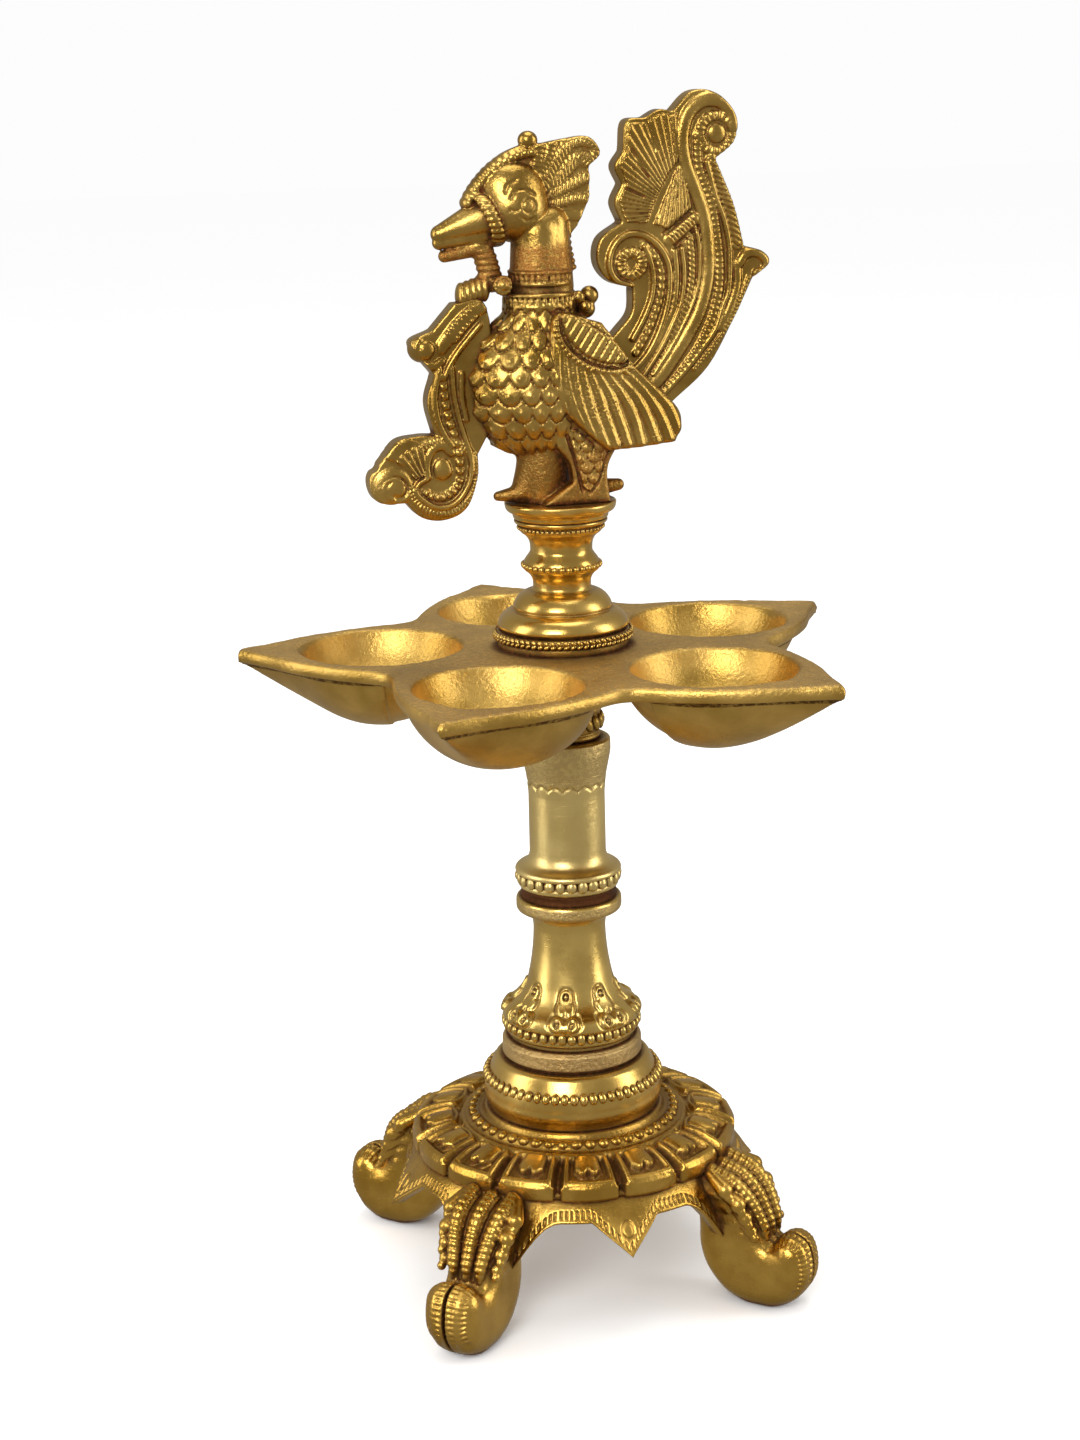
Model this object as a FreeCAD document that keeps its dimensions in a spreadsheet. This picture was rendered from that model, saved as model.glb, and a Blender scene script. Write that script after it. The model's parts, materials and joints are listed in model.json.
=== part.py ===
import FreeCAD, Part
import math
import os
import Sketcher

# A standing oil lamp in brass, in millimetres. The origin is on the floor on the lamp's axis, +Z is up,
# and the bird on top looks along -X. Everything up to the bird is a stack of pieces on threaded studs.

Vector = FreeCAD.Vector
UP = Vector(0, 0, 1)

# Driving dimensions: alias, millimetres (counts and angles plain), meaning.
SIZES = [
    ("stud_radius", 4.0, "M8 studs in frame, columns and neck"),
    ("finial_stud_radius", 3.0, "M6 stud under the bird"),
    ("fixed_clearance", 0.03, "radial, stud that stays in its hole"),
    ("thread_clearance", 0.06, "radial, stud that unscrews from its hole"),
    ("bore_clearance", 0.4, "radial, stud through a loose piece"),
    ("engagement", 13.5, "length of stud in each screwed hole"),
    ("hole_spare", 1.0, "hole depth past the stud's end"),
    ("washer_radius", 9.0, "under the deck"),
    ("washer_thickness", 1.6, "under the deck"),
    ("nut_flats", 13.0, "M8 nut across flats"),
    ("nut_height", 6.5, "M8 nut"),
    ("foot_count", 4, "feet, pendants between them"),
    ("foot_width", 14.0, "foot across its face"),
    ("foot_reach", 68.0, "axis to the toe's front"),
    ("pad_radius", 55.0, "axis to the middle of a foot's contact"),
    ("pad_length", 6.0, "flat contact along the foot"),
    ("skirt_radius", 50.0, "lower edge of the flared skirt"),
    ("skirt_bottom", 22.0, "height of the pendants' tips"),
    ("deck_bottom", 31.5, "height"),
    ("deck_top", 35.0, "height, dish rests on it"),
    ("dish_radius", 42.1, "rim of the lotus dish"),
    ("dish_rim", 39.3, "height of the rim's upper edge"),
    ("dish_top", 44.9, "height, dome rests on it"),
    ("petal_count", 16, "lotus petals"),
    ("petal_notch", 1.5, "radius of the notch between petals"),
    ("dome_radius", 23.0, "greatest"),
    ("dome_top", 58.6, "height"),
    ("spacer_radius", 18.1, "ring above the dome"),
    ("spacer_top", 64.1, "height"),
    ("bell_radius", 17.9, "foot of the lower column"),
    ("bell_waist", 9.25, "under its flange"),
    ("flange_radius", 13.5, "top of the lower column"),
    ("lower_top", 101.5, "height"),
    ("shim_radius", 12.3, "washer between the columns"),
    ("shim_top", 104.2, "height"),
    ("collar_radius", 13.75, "beaded collar of the upper column"),
    ("shaft_radius", 9.75, "upper column"),
    ("cap_radius", 11.35, "upper column's cap"),
    ("upper_top", 143.1, "height"),
    ("cup_count", 5, "lamp bowls"),
    ("cup_circle", 45.5, "axis to a bowl's centre"),
    ("cup_radius", 20.4, "bowl's opening"),
    ("cup_depth", 16.5, "bowl's inside"),
    ("rim_width", 3.6, "band round the opening"),
    ("bowl_depth", 19.5, "outside, below the plate's top"),
    ("tip_reach", 82.4, "axis to a spout's tip"),
    ("notch_reach", 50.0, "axis to the notch between bowls"),
    ("web_thickness", 3.6, "flat of the plate"),
    ("plate_top", 167.0, "height"),
    ("hub_radius", 16.4, "pad under the beaded ring"),
    ("hub_top", 169.1, "height"),
    ("ring_radius", 17.8, "beaded ring"),
    ("ring_top", 171.3, "height"),
    ("neck_foot", 16.4, "lower step of the neck's dome"),
    ("neck_step", 12.3, "upper step"),
    ("neck_waist", 7.3, "below the collar"),
    ("neck_collar", 10.25, "beaded collar"),
    ("neck_head", 11.6, "top"),
    ("neck_top", 199.0, "height"),
    ("disc_radius", 13.9, "disc under the bird"),
    ("disc_top", 203.3, "height, bird stands on it"),
    ("body_width", 24.0, "bird, across the breast"),
    ("wing_span", 25.0, "bird, over both wings"),
    ("crest_width", 5.2, "crest plate"),
    ("tail_thickness", 8.0, "tail casting"),
    ("scroll_thickness", 8.0, "breast scroll casting"),
]

# Bulges of an outline's arcs: tangent of a quarter of the angle turned, positive where the solid swells.
ROUND = 0.9
SWELL = 0.35
SOFT = 0.15
HOLLOW = -0.3
DIP = -0.12


def add_sizes(doc):
    sheet = doc.addObject("Spreadsheet::Sheet", "Sizes")
    for row, (alias, value, meaning) in enumerate(SIZES, start=1):
        sheet.set(f"A{row}", alias)
        sheet.set(f"B{row}", str(value))
        sheet.set(f"C{row}", meaning)
        sheet.setAlias(f"B{row}", alias)
    doc.recompute()


def size(doc, alias):
    return float(doc.getObject("Sizes").get(alias))


def bound(expression):
    """An outline's expression with each alias read from the sheet."""
    words = expression.split(" ")
    aliases = {alias for alias, _, _ in SIZES}
    return " ".join("Sizes." + word if word in aliases else word for word in words)


def origin_plane(body, role):
    return [feature for feature in body.Origin.OriginFeatures if feature.Role == role][0]


def edge_of(start, end, bulge):
    """A line or an arc; a hollow's arc is drawn from its end, because a sketch's arcs run anticlockwise."""
    if bulge == 0:
        return Part.LineSegment(start, end)
    chord = end - start
    middle = (start + end) * 0.5 + Vector(chord.y, -chord.x, 0) * (bulge / 2)
    if bulge < 0:
        return Part.Arc(end, middle, start)
    return Part.Arc(start, middle, end)


def outline_sketch(body, name, role, outline, turn=0):
    """A closed sketch on an origin plane, turned about the vertical.

    Each corner is (across, up) or (across, up, bulge of the edge that leaves it), and its two sizes are
    expressions in the sheet's words. A corner on an axis is held to that axis.
    """
    sketch = body.newObject("Sketcher::SketchObject", name)
    sketch.AttachmentSupport = [(origin_plane(body, role), "")]
    sketch.MapMode = "FlatFace"
    sketch.AttachmentOffset = FreeCAD.Placement(Vector(), FreeCAD.Rotation(Vector(0, 1, 0), turn))
    places = [[bound(text) for text in corner[:2]] for corner in outline]
    corners = [Vector(*[float(sketch.evalExpression(text)) for text in place], 0) for place in places]
    bulges = [corner[2] if len(corner) > 2 else 0 for corner in outline]
    count = len(corners)
    for index in range(count):
        sketch.addGeometry(edge_of(corners[index], corners[(index + 1) % count], bulges[index]))
    starts = [2 if bulge < 0 else 1 for bulge in bulges]
    for index in range(count):
        following = (index + 1) % count
        sketch.addConstraint(
            Sketcher.Constraint("Coincident", index, 3 - starts[index], following, starts[following]))
    for index, (place, corner) in enumerate(zip(places, corners)):
        hold_corner(sketch, index, starts[index], place, corner)
        if bulges[index]:
            hold_radius(sketch, index, place, places[(index + 1) % count], bulges[index])
    return sketch


def hold_corner(sketch, edge, end, place, corner):
    for kind, text, value, axis in (("DistanceX", place[0], corner.x, -2), ("DistanceY", place[1], corner.y, -1)):
        if abs(value) < 1e-9:
            sketch.addConstraint(Sketcher.Constraint("PointOnObject", edge, end, axis))
        else:
            number = sketch.addConstraint(Sketcher.Constraint(kind, -1, 1, edge, end, value))
            sketch.setExpression(f"Constraints[{number}]", text)


def hold_radius(sketch, edge, start, end, bulge):
    per_chord = (1 + bulge * bulge) / (4 * abs(bulge))
    chord = f"sqrt(({end[0]} - ({start[0]}))^2 + ({end[1]} - ({start[1]}))^2)"
    number = sketch.addConstraint(Sketcher.Constraint("Radius", edge, sketch.Geometry[edge].Radius))
    sketch.setExpression(f"Constraints[{number}]", f"{chord} * {per_chord:.6f}")


def new_body(doc, label):
    body = doc.addObject("PartDesign::Body", label)
    body.Label = label
    return body


def revolve(body, sketch):
    feature = body.newObject("PartDesign::Revolution", body.Label + "_turned")
    feature.Profile = sketch
    feature.ReferenceAxis = (sketch, ["V_Axis"])
    feature.Angle = 360


def turned(doc, label, outline):
    """A lathe piece: half its section, revolved about the lamp's axis."""
    body = new_body(doc, label)
    revolve(body, outline_sketch(body, label + "_section", "XZ_Plane", outline))


def round_pattern(body, feature, axis, count):
    """Copies of a feature round the lamp's axis, counted by a cell of the sheet."""
    pattern = body.newObject("PartDesign::PolarPattern", feature.Name + "_round")
    pattern.Originals = [feature]
    pattern.Axis = axis
    pattern.Angle = 360
    pattern.setExpression("Occurrences", bound(count))
    body.Tip = pattern


# Pieces of the base

def leg_frame(doc):
    """Deck and flared skirt, four curled feet, and a pendant midway between each pair of feet."""
    body = new_body(doc, "leg_frame")
    section = [
        ("stud_radius + bore_clearance", "deck_bottom"),
        ("dish_radius - 7.6", "deck_bottom"),
        ("skirt_radius - 3.4", "skirt_bottom"),
        ("skirt_radius", "skirt_bottom", DIP),
        ("dish_radius - 2.1", "deck_top"),
        ("stud_radius + bore_clearance", "deck_top"),
    ]
    revolve(body, outline_sketch(body, "skirt_section", "XZ_Plane", section))
    arches = [
        ("-34", "10"),
        ("34", "10"),
        ("34", "skirt_bottom - 2", 0.35),
        ("9", "deck_bottom - 2.5"),
        ("0", "skirt_bottom + 0.3"),
        ("-9", "deck_bottom - 2.5", 0.35),
        ("-34", "skirt_bottom - 2"),
    ]
    for role in ("XZ_Plane", "YZ_Plane"):
        cut = body.newObject("PartDesign::Pocket", "arches_" + role[:2])
        cut.Profile = outline_sketch(body, "arch_outline_" + role[:2], role, arches)
        cut.Type = "ThroughAll"
        cut.SideType = "Symmetric"
    foot = [
        ("36", "deck_bottom + 1"),
        ("38.5", "21", HOLLOW / 2),
        ("40", "11", SWELL),
        ("pad_radius - pad_length / 2", "0"),
        ("pad_radius + pad_length / 2", "0", SWELL),
        ("foot_reach", "13", SWELL),
        ("foot_reach - 4.5", "19.4", SOFT),
        ("57.5", "17.6", HOLLOW / 3),
        ("dish_radius + 5", "deck_top - 2"),
        ("dish_radius - 4", "deck_top - 1"),
    ]
    sketch = outline_sketch(body, "foot_outline", "XZ_Plane", foot, turn=45)
    pad = body.newObject("PartDesign::Pad", "foot")
    pad.Profile = sketch
    pad.SideType = "Symmetric"
    pad.setExpression("Length", "Sizes.foot_width")
    round_pattern(body, pad, (sketch, ["V_Axis"]), "foot_count")


def lotus_dish(doc):
    """Shallow shell with a raised bead ring and notches between the petals of its rim."""
    body = new_body(doc, "lotus_dish")
    section = [
        ("dish_radius - 6.5", "deck_top"),
        ("dish_radius", "deck_top"),
        ("dish_radius", "dish_rim", SOFT),
        ("28.4", "dish_top - 2.6"),
        ("27.8", "dish_top - 2.2", ROUND / 2),
        ("25.2", "dish_top - 1.6"),
        ("dome_radius - 0.2", "dish_top"),
        ("stud_radius + bore_clearance", "dish_top"),
        ("stud_radius + bore_clearance", "dish_top - 4"),
        ("27", "dish_top - 5.5"),
    ]
    revolve(body, outline_sketch(body, "dish_section", "XZ_Plane", section))
    sketch = body.newObject("Sketcher::SketchObject", "notch_outline")
    sketch.AttachmentSupport = [(origin_plane(body, "XY_Plane"), "")]
    sketch.MapMode = "FlatFace"
    reach = size(doc, "dish_radius")
    sketch.addGeometry(Part.Circle(Vector(reach, 0, 0), UP, size(doc, "petal_notch")))
    sketch.addConstraint(Sketcher.Constraint("PointOnObject", 0, 3, -1))
    across = sketch.addConstraint(Sketcher.Constraint("DistanceX", -1, 1, 0, 3, reach))
    radius = sketch.addConstraint(Sketcher.Constraint("Radius", 0, size(doc, "petal_notch")))
    sketch.setExpression(f"Constraints[{across}]", "Sizes.dish_radius + 0.3")
    sketch.setExpression(f"Constraints[{radius}]", "Sizes.petal_notch")
    notch = body.newObject("PartDesign::Pocket", "notch")
    notch.Profile = sketch
    notch.Type = "ThroughAll"
    notch.SideType = "Symmetric"
    round_pattern(body, notch, (sketch, ["N_Axis"]), "petal_count")


def base_dome(doc):
    turned(doc, "base_dome", [
        ("dome_radius - 5", "dish_top"),
        ("dome_radius - 0.8", "dish_top"),
        ("dome_radius - 0.8", "dish_top + 1.5", SOFT),
        ("dome_radius", "dish_top + 5", SOFT),
        ("dome_radius - 0.7", "dome_top - 4.4", SWELL),
        ("dome_radius - 3.4", "dome_top"),
        ("stud_radius + bore_clearance", "dome_top"),
        ("stud_radius + bore_clearance", "dome_top - 4"),
        ("dome_radius - 8", "dome_top - 4", -SWELL),
    ])


def spacer_ring(doc):
    turned(doc, "spacer_ring", [
        ("stud_radius + bore_clearance", "dome_top"),
        ("spacer_radius", "dome_top"),
        ("spacer_radius", "spacer_top"),
        ("stud_radius + bore_clearance", "spacer_top"),
    ])


# Columns

def lower_column(doc):
    """Bell with a flange on top, bored from both ends."""
    turned(doc, "lower_column", [
        ("stud_radius + thread_clearance", "spacer_top"),
        ("bell_radius - 1.6", "spacer_top"),
        ("bell_radius - 1.6", "spacer_top + 1.4"),
        ("bell_radius - 0.7", "spacer_top + 1.4", SOFT),
        ("bell_radius - 0.4", "spacer_top + 4.7"),
        ("bell_radius", "spacer_top + 5.5", SWELL),
        ("bell_radius - 2.2", "spacer_top + 9", DIP),
        ("bell_waist + 2", "spacer_top + 14.4", DIP / 2),
        ("bell_waist", "lower_top - 8"),
        ("bell_waist + 0.2", "lower_top - 7", HOLLOW),
        ("flange_radius", "lower_top - 3.1"),
        ("flange_radius", "lower_top"),
        ("stud_radius + fixed_clearance", "lower_top"),
        ("stud_radius + fixed_clearance", "lower_top - engagement"),
        ("0", "lower_top - engagement"),
        ("0", "spacer_top + engagement + hole_spare"),
        ("stud_radius + thread_clearance", "spacer_top + engagement + hole_spare"),
    ])


def column_shim(doc):
    turned(doc, "column_shim", [
        ("stud_radius + bore_clearance", "lower_top"),
        ("shim_radius", "lower_top"),
        ("shim_radius", "shim_top"),
        ("stud_radius + bore_clearance", "shim_top"),
    ])


def upper_column(doc):
    turned(doc, "upper_column", [
        ("stud_radius + thread_clearance", "shim_top"),
        ("collar_radius - 0.8", "shim_top", SOFT),
        ("collar_radius", "shim_top + 3.6", HOLLOW),
        ("shaft_radius", "shim_top + 8.4"),
        ("shaft_radius", "upper_top - 14.3"),
        ("shaft_radius + 0.4", "upper_top - 9.6"),
        ("cap_radius", "upper_top - 4.1"),
        ("cap_radius", "upper_top"),
        ("stud_radius + thread_clearance", "upper_top"),
        ("stud_radius + thread_clearance", "upper_top - engagement - hole_spare"),
        ("0", "upper_top - engagement - hole_spare"),
        ("0", "shim_top + engagement + hole_spare"),
        ("stud_radius + thread_clearance", "shim_top + engagement + hole_spare"),
    ])


# Plate with the lamp bowls

def bowl_section(reach, half_width, depth):
    """Half-oval hanging from the plate's top face, across the spout's direction."""
    poles = [
        Vector(reach, -half_width, 0),
        Vector(reach, -half_width, -depth * 4 / 3),
        Vector(reach, half_width, -depth * 4 / 3),
        Vector(reach, half_width, 0),
    ]
    curve = Part.BezierCurve()
    curve.setPoles(poles)
    return Part.Wire([curve.toShape(), Part.makeLine(poles[-1], poles[0])])


def cap_of_sphere(radius, depth):
    """The part below the plate's top face of a ball that opens there to the given radius."""
    ball_radius = (radius ** 2 + depth ** 2) / (2 * depth)
    ball = Part.makeSphere(ball_radius, Vector(0, 0, ball_radius - depth))
    below = Part.makeBox(4 * radius, 4 * radius, 2 * depth, Vector(-2 * radius, -2 * radius, -2 * depth))
    return ball.common(below)


def plate_outline(doc, cups):
    """Five leaves: an arc from each notch, past the bowl's rim, to each spout's tip."""
    edges = []
    notch = size(doc, "notch_reach")
    half_turn = 180 / cups
    flank_reach = size(doc, "cup_circle") + 17.5
    flank_side = 17.6
    for index in range(cups):
        leaf = FreeCAD.Rotation(UP, 90 + index * 2 * half_turn)
        notch_side = notch * math.sin(math.radians(half_turn))
        notch_along = notch * math.cos(math.radians(half_turn))
        tip = leaf.multVec(Vector(size(doc, "tip_reach"), 0, 0))
        for start_side, end_side in ((-1, 0), (0, 1)):
            side = start_side + end_side
            corner = leaf.multVec(Vector(notch_along, side * notch_side, 0))
            flank = leaf.multVec(Vector(flank_reach, side * flank_side, 0))
            ends = (corner, tip) if side < 0 else (tip, corner)
            edges.append(Part.Arc(ends[0], flank, ends[1]).toShape())
    return Part.Wire(edges)


def lamp_plate(doc):
    cups = int(size(doc, "cup_count"))
    circle = size(doc, "cup_circle")
    opening = size(doc, "cup_radius")
    outside = opening + size(doc, "rim_width")
    depth = size(doc, "bowl_depth")
    tip = size(doc, "tip_reach")
    web = Part.Face(plate_outline(doc, cups)).extrude(Vector(0, 0, -size(doc, "web_thickness")))
    bowl = cap_of_sphere(outside, depth).translated(Vector(circle, 0, 0))
    spout = Part.makeLoft([
        bowl_section(circle + 3, outside - 0.4, depth - 0.4),
        bowl_section(circle + 14.5, outside - 5.5, depth - 3),
        bowl_section(tip - 10.4, 9, 9.5),
        bowl_section(tip - 1.4, 0.9, 3.8),
    ], True)
    cup = cap_of_sphere(opening, size(doc, "cup_depth")).translated(Vector(circle, 0, 0))
    outer = bowl.fuse(spout)
    turns = [FreeCAD.Placement(Vector(), FreeCAD.Rotation(UP, 90 + index * 360 / cups)) for index in range(cups)]
    top = size(doc, "plate_top")
    hub_levels = [
        (size(doc, "stud_radius") + size(doc, "bore_clearance"), size(doc, "upper_top") - top),
        (9.0, size(doc, "upper_top") - top),
        (9.0, size(doc, "upper_top") - top + 1.9),
        (10.1, size(doc, "upper_top") - top + 3),
        (10.1, size(doc, "upper_top") - top + 5.5),
        (9.2, size(doc, "upper_top") - top + 6.9),
        (11.0, -10.0),
        (18.0, -size(doc, "web_thickness")),
        (size(doc, "hub_radius"), size(doc, "hub_top") - top),
        (size(doc, "stud_radius") + size(doc, "bore_clearance"), size(doc, "hub_top") - top),
    ]
    rim = [Vector(radius, 0, level) for radius, level in hub_levels]
    hub = Part.Face(Part.makePolygon(rim + rim[:1])).revolve(Vector(), UP, 360)
    shape = web.fuse([outer.transformed(turn.toMatrix()) for turn in turns] + [hub])
    bore = Part.makeCylinder(rim[0].x, 60, Vector(0, 0, -40))
    shape = shape.cut([cup.transformed(turn.toMatrix()) for turn in turns] + [bore])
    add_shape(doc, "lamp_plate", shape.removeSplitter(), top)


# Neck

def beaded_ring(doc):
    turned(doc, "beaded_ring", [
        ("stud_radius + bore_clearance", "hub_top"),
        ("ring_radius - 1", "hub_top", ROUND),
        ("ring_radius - 1", "ring_top"),
        ("stud_radius + bore_clearance", "ring_top"),
    ])


def neck_spindle(doc):
    """Two-step dome, waist, beaded collar and flared head."""
    turned(doc, "neck_spindle", [
        ("stud_radius + fixed_clearance", "ring_top"),
        ("neck_foot - 0.4", "ring_top"),
        ("neck_foot", "ring_top + 1.1", SWELL),
        ("neck_step", "ring_top + 4.6"),
        ("neck_step", "ring_top + 5.7", SWELL),
        ("neck_waist", "ring_top + 9.9"),
        ("neck_waist", "ring_top + 12"),
        ("neck_collar - 0.9", "ring_top + 14.7"),
        ("neck_collar", "ring_top + 16", SWELL),
        ("neck_collar - 1", "ring_top + 17.8"),
        ("neck_waist + 0.4", "neck_top - 8.2", HOLLOW),
        ("neck_head - 1.4", "neck_top - 3.2", SWELL),
        ("neck_head", "neck_top - 0.8"),
        ("neck_head", "neck_top"),
        ("finial_stud_radius + thread_clearance", "neck_top"),
        ("finial_stud_radius + thread_clearance", "neck_top - engagement + 1"),
        ("0", "neck_top - engagement + 1"),
        ("0", "ring_top + 12"),
        ("stud_radius + fixed_clearance", "ring_top + 12"),
    ])


def finial_disc(doc):
    turned(doc, "finial_disc", [
        ("finial_stud_radius + bore_clearance", "neck_top"),
        ("disc_radius - 2.1", "neck_top"),
        ("disc_radius - 1.7", "neck_top + 1.4", SWELL),
        ("disc_radius", "disc_top"),
        ("finial_stud_radius + bore_clearance", "disc_top"),
    ])


# Studs, washer and nut

def stud(doc, label, radius, bottom, top):
    rod = doc.addObject("Part::Cylinder", label)
    rod.Label = label
    rod.setExpression("Radius", bound(radius))
    rod.setExpression("Height", f"{bound(top)} - ({bound(bottom)})")
    rod.setExpression("Placement.Base.z", bound(bottom))


def studs(doc):
    stud(doc, "base_stud", "stud_radius", "deck_bottom - washer_thickness - nut_height - 1.2",
         "spacer_top + engagement")
    stud(doc, "column_stud", "stud_radius", "lower_top - engagement", "shim_top + engagement")
    stud(doc, "neck_stud", "stud_radius", "upper_top - engagement", "ring_top + 12")
    stud(doc, "finial_stud", "finial_stud_radius", "neck_top - engagement + 2", "disc_top + 11")


def bored(doc, label, outer, radius):
    """A solid with a hole on the lamp's axis."""
    bore = doc.addObject("Part::Cylinder", label + "_bore")
    bore.setExpression("Radius", bound(radius))
    bore.Height = 80
    piece = doc.addObject("Part::Cut", label)
    piece.Label = label
    piece.Base = outer
    piece.Tool = bore


def washer_and_nut(doc):
    washer = doc.addObject("Part::Cylinder", "washer_blank")
    washer.setExpression("Radius", bound("washer_radius"))
    washer.setExpression("Height", bound("washer_thickness"))
    washer.setExpression("Placement.Base.z", bound("deck_bottom - washer_thickness"))
    bored(doc, "base_washer", washer, "stud_radius + bore_clearance")
    nut = doc.addObject("Part::Prism", "nut_blank")
    nut.Polygon = 6
    nut.setExpression("Circumradius", bound("nut_flats / sqrt(3)"))
    nut.setExpression("Height", bound("nut_height"))
    nut.setExpression("Placement.Base.z", bound("deck_bottom - washer_thickness - nut_height"))
    bored(doc, "base_nut", nut, "stud_radius + fixed_clearance")


# Bird, measured from the middle of the disc's top face

# Each outline is a list of smooth runs (x, z); a run starts where the one before it ended.
TAIL = [
    [(12, 14), (28.5, 22.8)],
    [(38.1, 31.2), (45.6, 44.1), (49.8, 52.4)],
    [(54, 55.8), (52.4, 58.4), (47.4, 60)],
    [(44.6, 70.5), (40.1, 81)],
    [(45, 85.3), (45.2, 91.3), (40.2, 96.6), (34.2, 97), (29.2, 92.5)],
    [(26, 93), (22.4, 91.2)],
    [(17.6, 90.4), (16.7, 83.6)],
    [(14.5, 80), (16.2, 75.8)],
    [(14.3, 71.4), (16, 66.8)],
    [(10.6, 63), (9.8, 57.2), (13, 52.8), (18.6, 51.1)],
    [(18.2, 45.2), (14.8, 41)],
    [(4, 30)],
]
BREAST_SCROLL = [
    [(-18, 48), (-26, 49.4)],
    [(-31.6, 43.3)],
    [(-37, 40.4), (-32.7, 34.2)],
    [(-31.6, 32.7)],
    [(-33.4, 26), (-31.7, 18.2)],
    [(-35.6, 18.3), (-41, 17.4), (-44.4, 13.7)],
    [(-48.2, 8.6), (-46.4, 3), (-39.4, 2.2)],
    [(-35.6, -1.6), (-30.1, -2.6), (-24.6, -0.2), (-21.6, 7), (-21.2, 13)],
    [(-16, 22)],
]
WING = [
    [(-3.4, 46.2), (-4.2, 34), (-1.5, 23.3), (9.2, 13)],
    [(18, 13.4), (26.7, 14.2)],
    [(28.3, 18.6), (26.4, 23.6), (16.4, 32.7)],
    [(8, 44)],
]
CREST = [
    [(-22, 71.5), (-15.6, 81.6), (-8.8, 85.4), (-2.5, 86)],
    [(3.1, 86.9), (8.6, 87.1), (11.3, 83.3), (8.5, 80.4)],
    [(8.4, 73), (5.4, 66.3)],
    [(-1, 60), (-5, 70), (-16, 74)],
]
GARLAND = [
    [(-19.5, 64), (-15, 57.4), (-14, 50)],
    [(-20, 48.6), (-26.2, 50.8)],
    [(-25.3, 53.4), (-19.4, 55.4), (-21.6, 59.9)],
]


def flat_casting(runs, thickness, middle=0):
    """A plate parallel to XZ with the outline that the runs describe."""
    points = [[Vector(x, middle - thickness / 2, z) for x, z in run] for run in runs]
    edges = []
    start = points[-1][-1]
    for run in points:
        if len(run) == 1:
            edges.append(Part.makeLine(start, run[0]))
        else:
            curve = Part.BSplineCurve()
            curve.interpolate([start] + run)
            edges.append(curve.toShape())
        start = run[-1]
    return Part.Face(Part.Wire(edges)).extrude(Vector(0, thickness, 0))


def ellipsoid(centre, half_x, half_y, half_z):
    matrix = FreeCAD.Matrix()
    matrix.scale(half_x, half_y, half_z)
    return Part.makeSphere(1).transformGeometry(matrix).translated(centre)


def rod_between(start, end, start_radius, end_radius):
    axis = end - start
    return Part.makeCone(start_radius, end_radius, axis.Length, start, axis)


def slab(x_low, x_high, y_low, y_high, z_low, z_high):
    return Part.makeBox(x_high - x_low, y_high - y_low, z_high - z_low, Vector(x_low, y_low, z_low))


def bird_shape(doc):
    half = size(doc, "body_width") / 2
    span = size(doc, "wing_span") / 2
    crest_width = size(doc, "crest_width")
    pieces = [
        ellipsoid(Vector(-4.5, 0, 29), 18.5, half, 18.2),
        rod_between(Vector(-5, 0, 38), Vector(-4.5, 0, 66), 9.8, 6.6),
        Part.makeCylinder(7.9, 3.2, Vector(-3.6, 0, 54.2)),
        Part.makeCylinder(8.8, 3.4, Vector(-4.2, 0, 48.2)),
        Part.makeSphere(8.4, Vector(-9.3, 0, 70.7)),
        rod_between(Vector(-14, 0, 68.5), Vector(-30.2, 0, 62.6), 5.2, 1.2),
        flat_casting(CREST, crest_width),
        Part.makeSphere(2.4, Vector(-7.6, 0, 87.2)),
        flat_casting(GARLAND, 6),
        Part.makeSphere(3, Vector(7, 0, 49.5)),
        rod_between(Vector(0, 0, 0), Vector(-1, 0, 16), 6.5, 8.5),
        slab(-13, 0, -4.5, 4.5, 0, 16),
    ]
    for side in (-1, 1):
        pieces.append(flat_casting(WING, span - 6, side * (span + 6) / 2))
        pieces.append(rod_between(Vector(5, side * 6, 18), Vector(6, side * 6.5, 0), 6.2, 3.6))
        pieces.append(slab(-17.5, 16, side * 6.5 - 2.3, side * 6.5 + 2.3, 0, 3))
    shape = pieces[0]
    for piece in pieces[1:]:
        shape = shape.fuse(piece)
    below_disc = slab(-40, 40, -20, 20, -10, 0)
    bore = size(doc, "finial_stud_radius") + size(doc, "fixed_clearance")
    hole = Part.makeCylinder(bore, 12, Vector(0, 0, -1))
    return shape.cut(below_disc).cut(hole)


def add_shape(doc, label, shape, height):
    feature = doc.addObject("Part::Feature", label)
    feature.Label = label
    feature.Shape = shape
    feature.Placement = FreeCAD.Placement(Vector(0, 0, height), FreeCAD.Rotation())


def bird(doc):
    """The bird and the two flat castings brazed to it, which stop at the bird's own surface."""
    stand = size(doc, "disc_top")
    body = bird_shape(doc)
    tail = flat_casting(TAIL, size(doc, "tail_thickness")).cut(body)
    scroll = flat_casting(BREAST_SCROLL, size(doc, "scroll_thickness")).cut(body)
    add_shape(doc, "peacock_body", body, stand)
    add_shape(doc, "peacock_tail", largest(tail), stand)
    add_shape(doc, "breast_scroll", largest(scroll), stand)


def largest(shape):
    """The main solid of a cut, without offcuts enclosed by the neighbour."""
    return max(shape.Solids, key=lambda solid: solid.Volume)


NODES = [
    "leg_frame", "lotus_dish", "base_dome", "base_stud", "base_washer", "base_nut", "spacer_ring",
    "lower_column", "column_stud", "column_shim", "upper_column", "lamp_plate", "beaded_ring",
    "neck_spindle", "neck_stud", "finial_disc", "peacock_body", "peacock_tail", "breast_scroll",
    "finial_stud",
]


def check(doc):
    for item in doc.Objects:
        if {"Invalid", "Error"} & set(item.State):
            raise RuntimeError(f"{item.Label} failed: {item.State}")
    for node in NODES:
        shape = doc.getObjectsByLabel(node)[0].Shape
        if shape.isNull() or not shape.isValid() or not shape.Solids:
            raise RuntimeError(f"{node} has no valid solid")


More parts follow.
